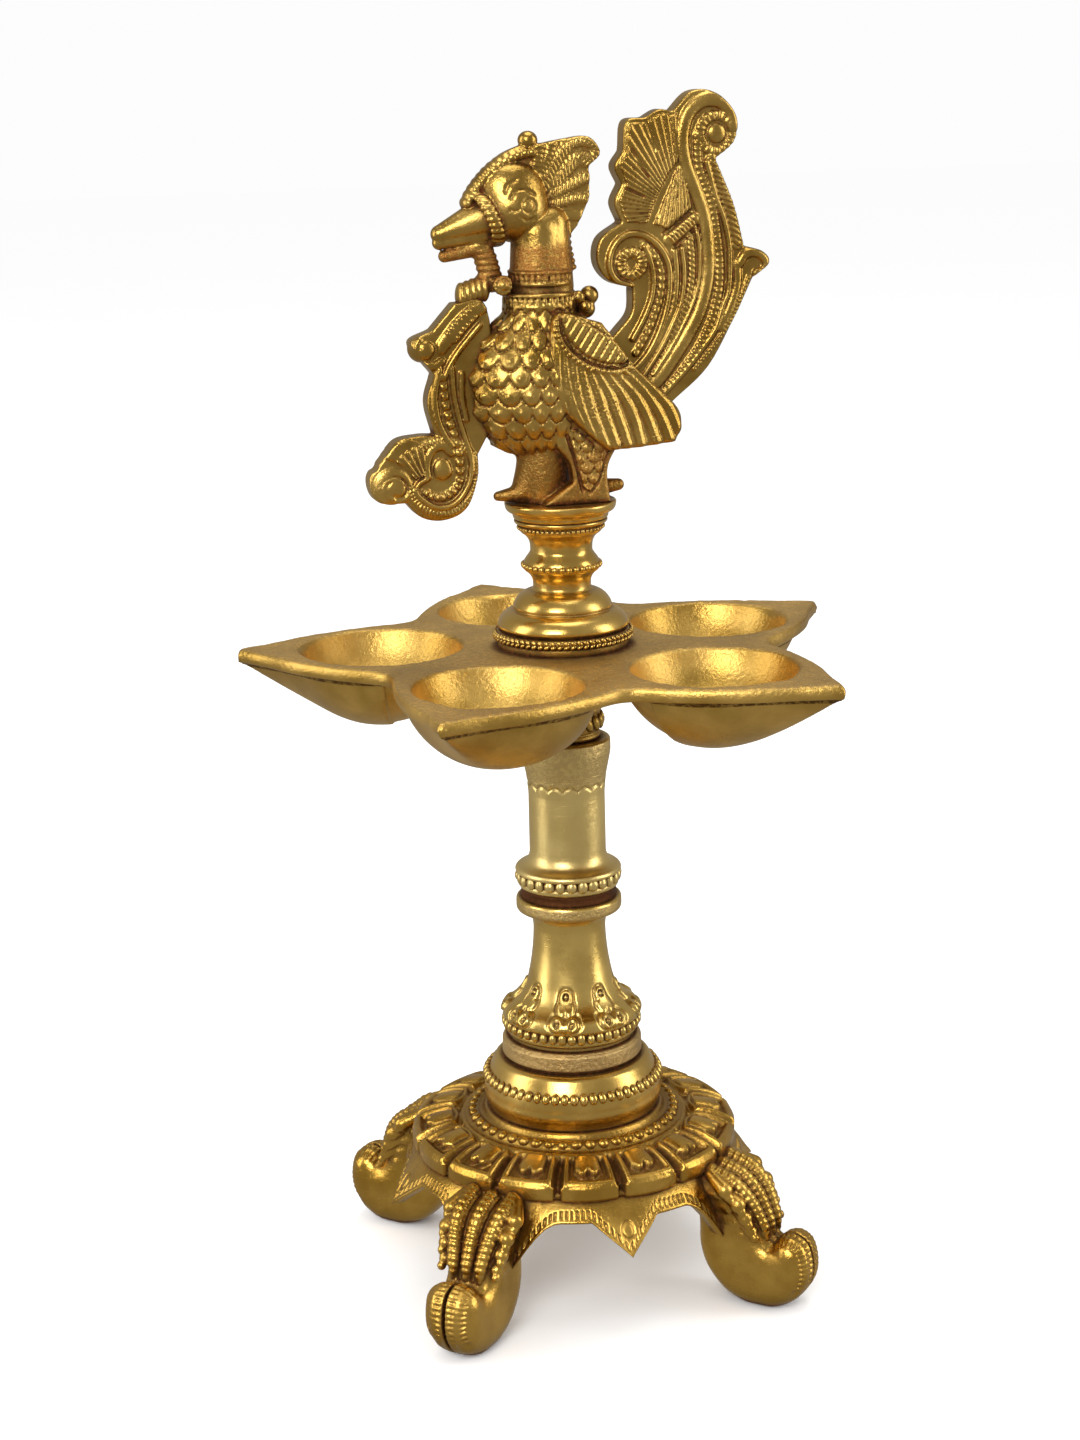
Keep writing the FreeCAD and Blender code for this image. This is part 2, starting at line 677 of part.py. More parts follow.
def build():
    doc = FreeCAD.newDocument("oil_lamp")
    add_sizes(doc)
    for piece in (leg_frame, lotus_dish, base_dome, spacer_ring, lower_column, column_shim, upper_column,
                  lamp_plate, beaded_ring, neck_spindle, finial_disc, studs, washer_and_nut, bird):
        piece(doc)
    doc.recompute()
    check(doc)
    os.makedirs("parts", exist_ok=True)
    for node in NODES:
        shape = doc.getObjectsByLabel(node)[0].Shape
        shape.exportStep(f"parts/{node}.step")
        box = shape.optimalBoundingBox()
        print(f"{node:15s} solids {len(shape.Solids)} z {box.ZMin:7.2f} {box.ZMax:7.2f} "
              f"x {box.XMin:7.2f} {box.XMax:7.2f} y {box.YMin:7.2f} {box.YMax:7.2f} {shape.Volume:9.0f} mm3")


build()
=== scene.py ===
import math

import bmesh
import bpy
import numpy as np
from mathutils import Matrix, Vector
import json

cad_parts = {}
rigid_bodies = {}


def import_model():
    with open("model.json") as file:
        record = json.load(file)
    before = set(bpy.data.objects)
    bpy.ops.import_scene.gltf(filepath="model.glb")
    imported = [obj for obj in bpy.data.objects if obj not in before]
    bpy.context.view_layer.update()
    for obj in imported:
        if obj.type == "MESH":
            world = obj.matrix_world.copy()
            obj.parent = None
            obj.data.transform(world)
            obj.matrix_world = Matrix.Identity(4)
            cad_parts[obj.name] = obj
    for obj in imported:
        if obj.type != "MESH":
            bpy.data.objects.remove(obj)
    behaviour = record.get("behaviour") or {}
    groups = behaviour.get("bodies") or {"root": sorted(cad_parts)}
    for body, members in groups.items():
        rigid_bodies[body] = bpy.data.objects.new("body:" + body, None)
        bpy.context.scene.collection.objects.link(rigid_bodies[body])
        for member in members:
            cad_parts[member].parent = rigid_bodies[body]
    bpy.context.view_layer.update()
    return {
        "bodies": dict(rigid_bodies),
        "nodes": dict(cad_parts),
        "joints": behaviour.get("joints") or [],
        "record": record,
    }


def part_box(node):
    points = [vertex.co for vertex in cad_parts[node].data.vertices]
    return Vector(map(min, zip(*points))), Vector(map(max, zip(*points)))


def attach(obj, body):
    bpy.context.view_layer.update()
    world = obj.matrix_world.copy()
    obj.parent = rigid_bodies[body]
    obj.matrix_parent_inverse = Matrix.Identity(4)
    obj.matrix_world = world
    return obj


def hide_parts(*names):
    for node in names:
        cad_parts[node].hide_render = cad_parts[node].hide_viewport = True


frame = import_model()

# A brass oil lamp. Shapes are worked out in millimetres and stored in metres; +Z is up, the bird faces -X.
MM = 0.001
TAU = 2 * math.pi
SAME_PLACE = 1e-6
COARSE = 1.0
random = np.random.default_rng(7)


# ---- meshes -------------------------------------------------------------------------------------------

def add_piece(name, verts, faces, body, nodes, material):
    """A mesh object from millimetres, riding on a body in place of CAD nodes."""
    mesh = bpy.data.meshes.new(name)
    mesh.from_pydata((np.asarray(verts) * MM).tolist(), [], [tuple(face) for face in faces])
    work = bmesh.new()
    work.from_mesh(mesh)
    bmesh.ops.remove_doubles(work, verts=work.verts, dist=SAME_PLACE)
    bmesh.ops.recalc_face_normals(work, faces=work.faces)
    work.to_mesh(mesh)
    work.free()
    mesh.polygons.foreach_set("use_smooth", [True] * len(mesh.polygons))
    mesh.materials.append(material)
    piece = bpy.data.objects.new(name, mesh)
    bpy.context.scene.collection.objects.link(piece)
    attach(piece, body)
    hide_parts(*nodes)


BEAD_AROUND = 12
BEAD_RINGS = 7


class Shell:
    """Vertices and faces of several closed surfaces that make one piece."""

    def __init__(self):
        self.verts = []
        self.faces = []
        self.count = 0

    def add(self, verts, faces):
        self.verts.append(np.asarray(verts, float))
        self.faces.extend([tuple(index + self.count for index in face) for face in faces])
        self.count += len(verts)

    def bead(self, centre, outward, size, tilt=0.0):
        """An oval bead: size is (across, outward, up) half-lengths, tilted in its surface."""
        out = np.array(outward, float)
        out /= np.linalg.norm(out)
        across = np.cross((0, 0, 1), out)
        across /= np.linalg.norm(across)
        up = np.cross(out, across)
        turned = across * math.cos(tilt) + up * math.sin(tilt)
        risen = up * math.cos(tilt) - across * math.sin(tilt)
        verts = [np.array(centre) + risen * -size[2]]
        for ring in range(1, BEAD_RINGS):
            level = math.pi * ring / BEAD_RINGS
            for step in range(BEAD_AROUND):
                turn = TAU * step / BEAD_AROUND
                verts.append(np.array(centre) - risen * size[2] * math.cos(level) + math.sin(level) * (
                    turned * size[0] * math.cos(turn) + out * size[1] * math.sin(turn)))
        verts.append(np.array(centre) + risen * size[2])
        faces = []
        last = len(verts) - 1
        for step in range(BEAD_AROUND):
            after = (step + 1) % BEAD_AROUND
            faces.append((0, 1 + after, 1 + step))
            base = 1 + (BEAD_RINGS - 2) * BEAD_AROUND
            faces.append((last, base + step, base + after))
            for ring in range(BEAD_RINGS - 2):
                low = 1 + ring * BEAD_AROUND
                faces.append((low + step, low + after, low + BEAD_AROUND + after, low + BEAD_AROUND + step))
        self.add(verts, faces)

    def bead_ring(self, radius, height, count, size, tilt=0.0, lean=0.0):
        """Beads round the lamp's axis, each a little different, facing outward and up by lean degrees."""
        for index in range(count):
            turn = TAU * index / count
            rise = math.radians(lean)
            out = (math.cos(turn) * math.cos(rise), math.sin(turn) * math.cos(rise), math.sin(rise))
            wobble = 1 + 0.06 * random.standard_normal(3)
            centre = (radius * math.cos(turn), radius * math.sin(turn), height)
            self.bead(centre, out, np.array(size) * wobble, tilt)


def section_points(corners, step, soften):
    """A closed section from (radius, height, bulge) corners, evenly sampled, its corners eased."""
    points = []
    for corner, following in zip(corners, corners[1:] + corners[:1]):
        start, end = np.array(corner[:2]), np.array(following[:2])
        bulge = corner[2] if len(corner) > 2 else 0
        chord = end - start
        length = np.hypot(*chord)
        count = max(1, int(round(length / step)))
        for index in range(count):
            share = index / count
            side = 2 * bulge * share * (1 - share)
            points.append(start + chord * share + np.array([chord[1], -chord[0]]) * side)
    points = np.array(points)
    fixed = points[:, 0] < 1e-6
    for _ in range(soften):
        eased = (np.roll(points, 1, 0) + 2 * points + np.roll(points, -1, 0)) / 4
        points = np.where(fixed[:, None], points, eased)
    return points


def lathe(shell, corners, around=160, step=0.35, soften=2, relief=None):
    """Revolves a section about Z; relief(turn, radius, height) moves the surface out along its normal."""
    points = section_points(corners, step * COARSE, soften)
    if relief is not None:
        around = int(around / COARSE)
    turns = np.arange(around) * TAU / around
    along = np.roll(points, -1, 0) - np.roll(points, 1, 0)
    normals = np.stack([along[:, 1], -along[:, 0]], 1)
    normals /= np.maximum(np.linalg.norm(normals, axis=1, keepdims=True), 1e-9)
    turn, radius = np.meshgrid(turns, points[:, 0], indexing="ij")
    height = np.broadcast_to(points[:, 1], radius.shape)
    if relief is not None:
        rise = relief(turn, radius, height)
        radius = radius + rise * normals[:, 0]
        height = height + rise * normals[:, 1]
    revolved(shell, turn, radius, height)


def revolved(shell, turn, radius, height):
    """A closed ring surface from (around, section) arrays."""
    around, count = turn.shape
    verts = np.stack([radius * np.cos(turn), radius * np.sin(turn), height], -1).reshape(-1, 3)
    i, j = np.meshgrid(np.arange(around), np.arange(count), indexing="ij")
    after, beyond = (i + 1) % around, (j + 1) % count
    corners = [i * count + j, after * count + j, after * count + beyond, i * count + beyond]
    shell.add(verts, np.stack(corners, -1).reshape(-1, 4).tolist())


# ---- sculpting ----------------------------------------------------------------------------------------

def smooth_low(first, second, blend):
    """The lower of two fields, eased together over blend."""
    if blend <= 0:
        return np.minimum(first, second)
    near = np.maximum(blend - np.abs(first - second), 0) / blend
    return np.minimum(first, second) - near * near * blend / 4


def smooth_high(first, second, blend):
    return -smooth_low(-first, -second, blend)


def ease(value, low, high):
    share = np.clip((value - low) / (high - low), 0, 1)
    return share * share * (3 - 2 * share)


def span(*sides):
    """The length of the diagonal over the sides."""
    return np.sqrt(sum(side ** 2 for side in sides))


def bump(value, centre, width, power=2):
    """A bell shape: 1 at the centre, fading over the width."""
    return np.exp(-((value - centre) / width) ** power)


def dome(share):
    """A half circle: 1 in the middle, 0 where share reaches 1."""
    return np.sqrt(np.clip(1 - share ** 2, 0, 1))


FAR = 1e3
EMPTY = 9.0


class Clay:
    """A block of space that holds a distance to the surface, negative inside, in millimetres."""

    def __init__(self, low, high, step):
        step *= COARSE
        self.step = step
        self.low = np.array(low, float)
        self.axes = [np.arange(a, b + step, step) for a, b in zip(low, high)]
        self.field = np.full([len(axis) for axis in self.axes], EMPTY, np.float32)

    def window(self, low, high):
        """Slices and coordinates of a box within the block."""
        slices = tuple(slice(*np.searchsorted(axis, (a, b))) for axis, a, b in zip(self.axes, low, high))
        x, y, z = (axis[part] for axis, part in zip(self.axes, slices))
        return slices, x[:, None, None], y[None, :, None], z[None, None, :]

    def add(self, shape, low=(-FAR,) * 3, high=(FAR,) * 3, blend=0.0):
        slices, x, y, z = self.window(low, high)
        self.field[slices] = smooth_low(self.field[slices], shape(x, y, z).astype(np.float32), blend)

    def cut(self, shape, low=(-FAR,) * 3, high=(FAR,) * 3):
        slices, x, y, z = self.window(low, high)
        self.field[slices] = np.maximum(self.field[slices], -shape(x, y, z).astype(np.float32))

    def ball(self, centre, radii, blend=0.0):
        """An ellipsoid."""
        centre, radii = np.array(centre, float), np.array(radii, float) * np.ones(3)
        reach = radii + blend + 1
        small = radii.min()

        def distance(*place):
            return (span(*[(a - b) / c for a, b, c in zip(place, centre, radii)]) - 1) * small

        self.add(distance, centre - reach, centre + reach, blend)

    def rod(self, start, end, start_radius, end_radius, blend=0.0):
        """A round rod whose radius changes evenly, with ball ends."""
        start, end = np.array(start, float), np.array(end, float)
        along = end - start
        length = max(along @ along, 1e-9)
        reach = max(start_radius, end_radius) + blend + 1

        def distance(*place):
            share = np.clip(sum((a - b) * c for a, b, c in zip(place, start, along)) / length, 0, 1)
            away = span(*[a - b - share * c for a, b, c in zip(place, start, along)])
            return away - start_radius - (end_radius - start_radius) * share

        self.add(distance, np.minimum(start, end) - reach, np.maximum(start, end) + reach, blend)

    def surface(self):
        """Vertices and quads: one vertex for each cell that the surface crosses, one quad for each edge."""
        inside = self.field < 0
        shape = np.array(inside.shape)
        cells, places, quads = [], [], []
        for axis in range(3):
            before = [slice(None)] * 3
            after = [slice(None)] * 3
            before[axis], after[axis] = slice(0, -1), slice(1, None)
            crossed = np.argwhere(inside[tuple(before)] != inside[tuple(after)])
            further = crossed.copy()
            further[:, axis] += 1
            first = self.field[tuple(crossed.T)].astype(float)
            second = self.field[tuple(further.T)].astype(float)
            place = crossed.astype(float)
            place[:, axis] += first / (first - second)
            one, two = (axis + 1) % 3, (axis + 2) % 3
            around = []
            for step_one, step_two in ((0, 0), (-1, 0), (-1, -1), (0, -1)):
                cell = crossed.copy()
                cell[:, one] += step_one
                cell[:, two] += step_two
                around.append(np.ravel_multi_index(cell.T, shape))
                cells.append(around[-1])
                places.append(place)
            quad = np.stack(around, 1)
            quads.append(np.where((first < 0)[:, None], quad, quad[:, ::-1]))
        names, index = np.unique(np.concatenate(cells), return_inverse=True)
        places = np.concatenate(places)
        count = np.bincount(index)
        verts = np.stack([np.bincount(index, places[:, axis]) / count for axis in range(3)], 1)
        return self.low + verts * self.step, np.searchsorted(names, np.concatenate(quads))


def curve(points, per_span=8, closed=False):
    """A smooth curve through the points."""
    points = np.array(points, float)
    if closed:
        padded = np.vstack([points[-1], points, points[:2]])
    else:
        padded = np.vstack([2 * points[0] - points[1], points, 2 * points[-1] - points[-2]])
    shares = np.arange(per_span)[:, None] / per_span
    spans = []
    for a, b, c, d in zip(padded, padded[1:], padded[2:], padded[3:]):
        spans.append(0.5 * (2 * b + (c - a) * shares + (2 * a - 5 * b + 4 * c - d) * shares ** 2
                            + (3 * b - a - 3 * c + d) * shares ** 3))
    if not closed:
        spans.append(points[-1:])
    return np.concatenate(spans)


def path_distance(path, x, z):
    """Distance from each place to a path in a plane, how far along the path, and on which side."""
    best = np.full(np.broadcast(x, z).shape, FAR)
    along = np.zeros_like(best)
    side = np.zeros_like(best)
    travelled = 0.0
    for start, end in zip(path[:-1], path[1:]):
        step = end - start
        length = max(np.hypot(*step), 1e-9)
        share = np.clip(((x - start[0]) * step[0] + (z - start[1]) * step[1]) / length ** 2, 0, 1)
        away = np.hypot(x - start[0] - share * step[0], z - start[1] - share * step[1])
        nearer = away < best
        best = np.where(nearer, away, best)
        along = np.where(nearer, travelled + share * length, along)
        turn = (x - start[0]) * step[1] - (z - start[1]) * step[0]
        side = np.where(nearer, np.sign(turn), side)
        travelled += length
    return best, along, side


def outline_distance(outline, x, z):
    """Signed distance to a closed outline, negative inside."""
    ring = np.vstack([outline, outline[:1]])
    away = path_distance(ring, x, z)[0]
    inside = np.zeros(away.shape, bool)
    for start, end in zip(ring[:-1], ring[1:]):
        if start[1] == end[1]:
            continue
        spans = (z < start[1]) != (z < end[1])
        crossing = start[0] + (z - start[1]) * (end[0] - start[0]) / (end[1] - start[1])
        inside ^= spans & (x < crossing)
    return np.where(inside, -away, away)


def runs_outline(runs):
    """A closed outline of smooth runs that meet at corners; each run starts where the one before ended."""
    points = []
    start = runs[-1][-1]
    for run in runs:
        points.append(curve([start] + run, 6)[:-1] if len(run) > 1 else np.array([start], float))
        start = run[-1]
    return np.concatenate(points)


# ---- materials ----------------------------------------------------------------------------------------

class Nodes:
    """A short hand for one material's node tree."""

    def __init__(self, name):
        self.material = bpy.data.materials.new(name)
        self.material.use_nodes = True
        self.tree = self.material.node_tree
        self.shader = self.tree.nodes["Principled BSDF"]

    def add(self, kind, inputs=(), **settings):
        node = self.tree.nodes.new("ShaderNode" + kind)
        for key, value in settings.items():
            setattr(node, key, value)
        for key, value in dict(inputs).items():
            self.set(node.inputs[key], value)
        return node

    def set(self, socket, value):
        if isinstance(value, bpy.types.NodeSocket):
            self.tree.links.new(value, socket)
        else:
            socket.default_value = value

    def noise(self, where, scale, detail=4.0, rough=0.55):
        settings = {"Vector": where, "Scale": scale, "Detail": detail, "Roughness": rough}
        return self.add("TexNoise", settings).outputs[0]

    def ramp(self, value, low, high, to_low=0.0, to_high=1.0):
        ends = {"Value": value, "From Min": low, "From Max": high, "To Min": to_low, "To Max": to_high}
        return self.add("MapRange", ends, interpolation_type="SMOOTHSTEP").outputs[0]

    def mix(self, share, first, second):
        node = self.add("Mix", data_type="RGBA")
        self.set(node.inputs[0], share)
        self.set(node.inputs[6], first)
        self.set(node.inputs[7], second)
        return node.outputs[2]

    def math(self, kind, first, second):
        node = self.add("Math", operation=kind)
        self.set(node.inputs[0], first)
        self.set(node.inputs[1], second)
        return node.outputs[0]

    def times(self, first, second):
        return self.math("MULTIPLY", first, second)

    def plus(self, first, second):
        return self.math("ADD", first, second)


BROWN = (0.070, 0.026, 0.004, 1)
GREY_BROWN = (0.44, 0.29, 0.11, 1)
RED = (0.36, 0.13, 0.03, 1)
RUST = (0.26, 0.075, 0.02, 1)
FILED = (0.62, 0.44, 0.19, 1)
# noise scales, per metre: clouds of tone, grain, specks, and marks that run round the turned pieces
CLOUDS = 70.0
GRAINS = 900.0
SPECKS = 2600.0
TURNING_MARKS = (60.0, 60.0, 4200.0)
# light and dark tone of the bird
CHASED = ((0.62, 0.40, 0.105, 1), (0.39, 0.225, 0.042, 1))


def zone(low, high, colour, amount, soft, steep=-2.0, flat=-1.9):
    """A band of another colour between two heights in millimetres, its ends soft.

    It fades in as the surface's upward slope goes from steep to flat; the default takes in every slope.
    """
    return low, high, colour, amount, soft, steep, flat


def brass(name, light, dark, patina, rough, grain, reach=0.0030, dirt=1.15, brushed=0.0, redness=0.5,
          zones=()):
    """Brass in two clouded tones, with brown patina in its recesses, painted shade in its wider hollows,
    grain and turning marks.
    """
    made = Nodes(name)
    where = made.add("TexCoord").outputs["Object"]
    cloud = made.noise(where, CLOUDS, 5.0)
    fine = made.noise(where, GRAINS, 3.0)
    speck = made.noise(where, SPECKS, 2.0, 0.7)
    hidden = made.add("AmbientOcclusion", {"Distance": reach}, samples=6).outputs["AO"]
    wide = made.add("AmbientOcclusion", {"Distance": reach * 4}, samples=4).outputs["AO"]
    recess = made.ramp(hidden, 0.88, 0.46)
    uneven = made.ramp(cloud, 0.30, 0.62, 0.6, 1.2)
    stain = made.times(made.times(recess, uneven), dirt)
    tone = made.mix(made.ramp(cloud, 0.32, 0.68), dark, light)
    # painted shade: a wider occlusion darkens the tone towards deep brown in low areas between raised parts
    painted_shade = made.ramp(wide, 0.92, 0.35, 0.0, 0.65)
    tone = made.mix(painted_shade, tone, tuple(0.42 * part for part in dark[:3]) + (1,))
    shine = made.ramp(cloud, 0.25, 0.75, rough - 0.05, rough + 0.08)
    height = made.times(speck, grain)
    height = made.plus(height, made.times(fine, grain * 2.2))
    normal = made.add("NewGeometry").outputs["Normal"]
    level = made.add("SeparateXYZ", {"Vector": where}).outputs["Z"]
    slope = made.add("SeparateXYZ", {"Vector": normal}).outputs["Z"]
    for low, high, colour, amount, soft, steep, flat in zones:
        band = made.times(made.ramp(level, low * MM, (low + soft) * MM),
                         made.ramp(level, high * MM, (high - soft) * MM))
        band = made.times(band, made.ramp(slope, steep, flat))
        band = made.times(band, made.ramp(fine, 0.38, 0.56, amount * 0.45, amount))
        tone = made.mix(band, tone, colour)
        shine = made.plus(shine, made.times(band, 0.2))
        height = made.plus(height, made.times(made.times(speck, band), 2.2))
    red = made.mix(made.ramp(fine, 0.45, 0.62, 0.0, redness), patina, RUST)
    colour = made.mix(made.math("MINIMUM", stain, 0.96), tone, red)
    made.set(made.shader.inputs["Base Color"], colour)
    made.set(made.shader.inputs["Metallic"], made.ramp(stain, 0.0, 1.0, 1.0, 0.7))
    made.set(made.shader.inputs["Roughness"], made.plus(shine, made.times(stain, 0.32)))
    if brushed:
        stretched = made.add("Mapping", {"Vector": where, "Scale": TURNING_MARKS}).outputs[0]
        lines = made.noise(stretched, 1.0, 3.0, 0.7)
        height = made.plus(height, made.times(lines, brushed))
    dents = made.add("Bump", {"Strength": 1.0, "Distance": 0.1 * MM, "Height": height}).outputs[0]
    made.set(made.shader.inputs["Normal"], dents)
    return made.material


TURNED = brass("turned_brass", (0.86, 0.58, 0.165, 1), (0.72, 0.46, 0.11, 1), BROWN, 0.23, 0.12,
               brushed=0.22)
ROUGH = brass("filed_brass", (0.74, 0.52, 0.22, 1), (0.54, 0.35, 0.13, 1), BROWN, 0.40, 1.6, brushed=0.3)
SHAFT = brass("satin_brass", (0.98, 0.76, 0.31, 1), (0.88, 0.65, 0.24, 1), BROWN, 0.33, 0.16, brushed=0.5,
              zones=[zone(132, 143, FILED, 0.7, 0.4)])
BELL = brass("bell_brass", (0.90, 0.64, 0.20, 1), (0.76, 0.51, 0.14, 1), BROWN, 0.25, 0.14, brushed=0.22,
             zones=[zone(96.6, 101, FILED, 0.85, 0.3)])
CAST = brass("cast_brass", (0.78, 0.48, 0.105, 1), (0.54, 0.305, 0.05, 1), BROWN, 0.25, 0.55, dirt=1.3)
BIRD = brass("chased_brass", *CHASED, BROWN, 0.26, 0.5, reach=0.0026, dirt=1.6, redness=0.75)
BODY = brass("chased_body_brass", *CHASED, BROWN, 0.26, 0.5, reach=0.0026, dirt=1.6, redness=0.75,
             zones=[zone(256, 267, RED, 0.7, 2.6), zone(200, 219, RED, 0.5, 4)])
PLATE = brass("plate_brass", (0.80, 0.52, 0.14, 1), (0.56, 0.34, 0.07, 1), BROWN, 0.35, 0.75,
              zones=[zone(166.4, 168, GREY_BROWN, 0.85, 0.3, 0.5, 0.9),
                     zone(162.2, 163.7, BROWN, 0.85, 0.3, 0.35, 0.1)])
SEAM = brass("seam_washer", (0.20, 0.075, 0.03, 1), (0.10, 0.04, 0.015, 1), BROWN, 0.6, 1.2)
STEEL = brass("hidden_steel", (0.50, 0.49, 0.47, 1), (0.38, 0.37, 0.35, 1), (0.08, 0.06, 0.05, 1), 0.35,
              0.3, brushed=0.3, redness=0.2)


# ---- turned pieces ------------------------------------------------------------------------------------

# radii of the bores: sliding and tapped for the 8 mm studs, sliding and tapped for the 6 mm stud
BORE = 4.4
STUD = 4.06
NECK_TAP = 4.03
FINE_BORE = 3.4
FINE_TAP = 3.06
PETALS = 16


def bottom(node):
    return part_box(node)[0].z / MM


def turned(name, body, material, slot, corners, beads=(), **settings):
    """A turned piece; its corners and rings of beads are given from the piece's lower face."""
    shell = Shell()
    low = bottom(name)
    lathe(shell, raised(corners, low), **settings)
    for radius, height, count, size, tilt, lean in beads:
        shell.bead_ring(radius, low + height, count, size, tilt, lean)
    finish(name, body, material, shell)


def raised(corners, height):
    return [(corner[0], corner[1] + height, *corner[2:]) for corner in corners]


def finish(name, body, material, shell):
    add_piece(name + "_brass", np.concatenate(shell.verts), shell.faces, body, [name], material)


def bell_relief(turn, radius, height):
    """Eight raised sprigs round the bell, each a bud over two curled leaves, with dots between them."""
    pitch = TAU / 8
    across = ((turn / pitch) % 1 - 0.5) * pitch * np.maximum(radius, 12.5)
    level = height - 69.6
    away = np.full(np.broadcast(across, level).shape, 9.0)
    for side, up, wide, tall in ((0, 7.6, 1.7, 1.9), (0.9, 5.3, 1.3, 1.5), (1.9, 2.2, 2.0, 1.7),
                                 (0, 1.6, 0.8, 1.2)):
        offset = np.hypot((np.abs(across) - side) / wide, (level - up) / tall) - 1
        away = np.minimum(away, offset * min(wide, tall))
    for side, up in ((0.1, 7.9), (1.9, 2.3)):
        curl = np.hypot(np.abs(across) - side, level - up) - 0.6
        away = np.where(np.abs(curl) < 0.22, 0.15, away)
    raised_part = 0.5 * ease(-away, -0.1, 0.4)
    outline = 0.45 * bump(away, 0.42, 0.28)
    return (raised_part - outline) * ease(level, -0.6, 0.4) * (1 - ease(level, 9.6, 10.4)) * (radius > 9)


def cap_relief(turn, radius, height):
    """A scalloped line engraved round the flare under the plate."""
    wave = 131.0 + 1.0 * np.abs(np.sin(turn * 8))
    return -0.45 * bump(height, wave, 0.3) * (radius > 8)


# ---- base casting -------------------------------------------------------------------------------------

DISH_LOW = bottom("lotus_dish")


def petal_relief(turn, radius, height):
    """Sixteen petals: a raised U-shaped frame with a two-lobed pad in it, and a groove between petals."""
    share = ((turn / (TAU / PETALS)) % 1 - 0.5) * 2
    off = np.abs(share)
    top = ease(height, DISH_LOW + 3.3, DISH_LOW + 4.3) * ease(radius, 28.8, 30.4)
    head = 30.6 + 2.4 * off ** 2
    side_wall = bump(off, 0.74, 0.10, 4) * ease(radius, head - 0.6, head + 0.6)
    end_wall = bump(radius, 41.0, 1.0, 4) * (off < 0.8)
    head_wall = bump(radius, head, 0.8) * (off < 0.8)
    frame = np.maximum(np.maximum(side_wall, end_wall), head_wall)
    lobe_end = 37.7 + 1.5 * np.abs(np.sin(math.pi * np.clip(share / 0.40, -1, 1)))
    pad = np.sqrt(np.clip(1 - (share / 0.50) ** 4, 0, 1)) * ease(lobe_end - radius, 0, 0.9)
    pad *= ease(radius, 30.8, 32.0)
    rise = np.maximum(1.7 * frame, 2.0 * pad * (1 - 0.5 * off ** 2)) - 1.25
    rise = rise - 1.2 * ease(off, 0.88, 0.96)
    rim = ease(radius, 40.4, 41.4) * (1 - top)
    band = 0.5 * (1 - off ** 2) - 2.2 * ease(off, 0.87, 0.96)
    return top * rise + rim * band


FOOT_PROFILE = [
    (36, 31), (37.6, 26), (38.2, 20), (38.4, 14), (40.4, 8.2), (45, 2.9), (50.5, 0.35), (55, 0.02),
    (59.6, 0.5), (64.6, 3.6), (67.6, 8.4), (68, 13.4), (66.6, 18), (63.4, 19.9), (60.4, 19.2),
    (58.6, 17.6), (57, 18.8), (55.6, 23), (53.4, 28.2), (49.6, 32.6), (44, 34.9), (38, 34.9)]
TOE_CURL = [(58.4, 18.4), (61.5, 20), (65.6, 19.4), (67.9, 15.4), (67.8, 10.7), (65.5, 6.6)]
FOOT_SPINE = [(42.5, 35.2), (48.2, 33.4), (52.4, 29.4), (54.9, 24.2), (56.8, 19)]


def foot_clay():
    """One foot, standing along +X: a scroll leg with ribbed ridges down its front and a curled toe."""
    clay = Clay((34, -13.5, -1), (70, 13.5, 37), 0.33)
    outline = curve(FOOT_PROFILE, 5, closed=True)
    x = clay.axes[0][:, None]
    z = clay.axes[2][None, :]
    edge = outline_distance(outline, x, z)
    away, along, _ = path_distance(curve(FOOT_SPINE, 6), x, z)
    half = 7.0 + 1.4 * ease(z, 22, 35)
    clay.add(lambda x, y, z: smooth_high(edge[:, None, :], np.abs(y) - half[:, None, :], 6.5) - 0.3)
    # ribbed ridges: one down the middle and one each side, with deep gaps that spread towards the dish
    spread = (0.82 + 0.40 * ease(z, 20, 36))[:, None, :]
    away, along = away[:, None, :], along[:, None, :]
    for offset, radius in ((0.0, 2.0), (4.6, 2.05)):
        ribs = 0.82 + 0.18 * np.abs(np.sin(along * math.pi / 1.7 + offset))
        thick = radius * ribs * (0.45 + 0.55 * ease(along.max() - along, -1, 4))
        clay.add(lambda x, y, z: span(away, np.abs(y) - offset * spread) - thick)
    for offset in (2.3, 7.0):
        clay.cut(lambda x, y, z: span(away, np.abs(y) - offset * spread) - 0.5)
    # leaf curls that hug the leg's sides
    front, heights = np.array(FOOT_SPINE[::-1]).T
    for level, size in ((32.4, 2.2), (28.9, 2.1), (25.3, 1.9), (21.8, 1.6)):
        reach = np.interp(level, heights, front) - 1.6
        for side in (-1, 1):
            width = side * (7.0 + 0.16 * (level - 20))
            stem, tip = (reach - 9, width * 0.74, level - 1.6), (reach - 3, width * 0.86, level - 2.2)
            clay.rod((reach - 4.6, width * 0.8, level + 2.6), (reach, width, level), size * 0.7, size, 0.5)
            clay.ball((reach + 1.2, width * 1.06, level - 1.5), (1.25, 1.1, 1.25), 0.25)
            clay.rod(stem, tip, 0.9, 1.2, 0.8)
    # toes: a centre groove round the curl and rows of short notches beside it and at the edges
    clay.cut(lambda x, y, z: np.hypot(y, np.maximum(58.5 - x, 0)) - 0.42 + 0 * z,
             (57, -1.5, -1), (70, 1.5, 22))
    curl = path_distance(curve(TOE_CURL, 6), x, z)
    notch = (0.5 + 0.5 * np.cos(curl[1] * TAU / 1.45)) * bump(curl[0], 0, 2.2)
    across = np.abs(clay.axes[1])[None, :, None]
    rows = bump(across, 1.9, 0.9) + bump(across, 4.9, 0.8)
    clay.field += (0.5 * notch[:, None, :] * rows).astype(np.float32)
    clay.cut(lambda x, y, z: 0.01 - z + 0 * x + 0 * y, (30, -14, -2), (72, 14, 0.6))
    return clay.surface()


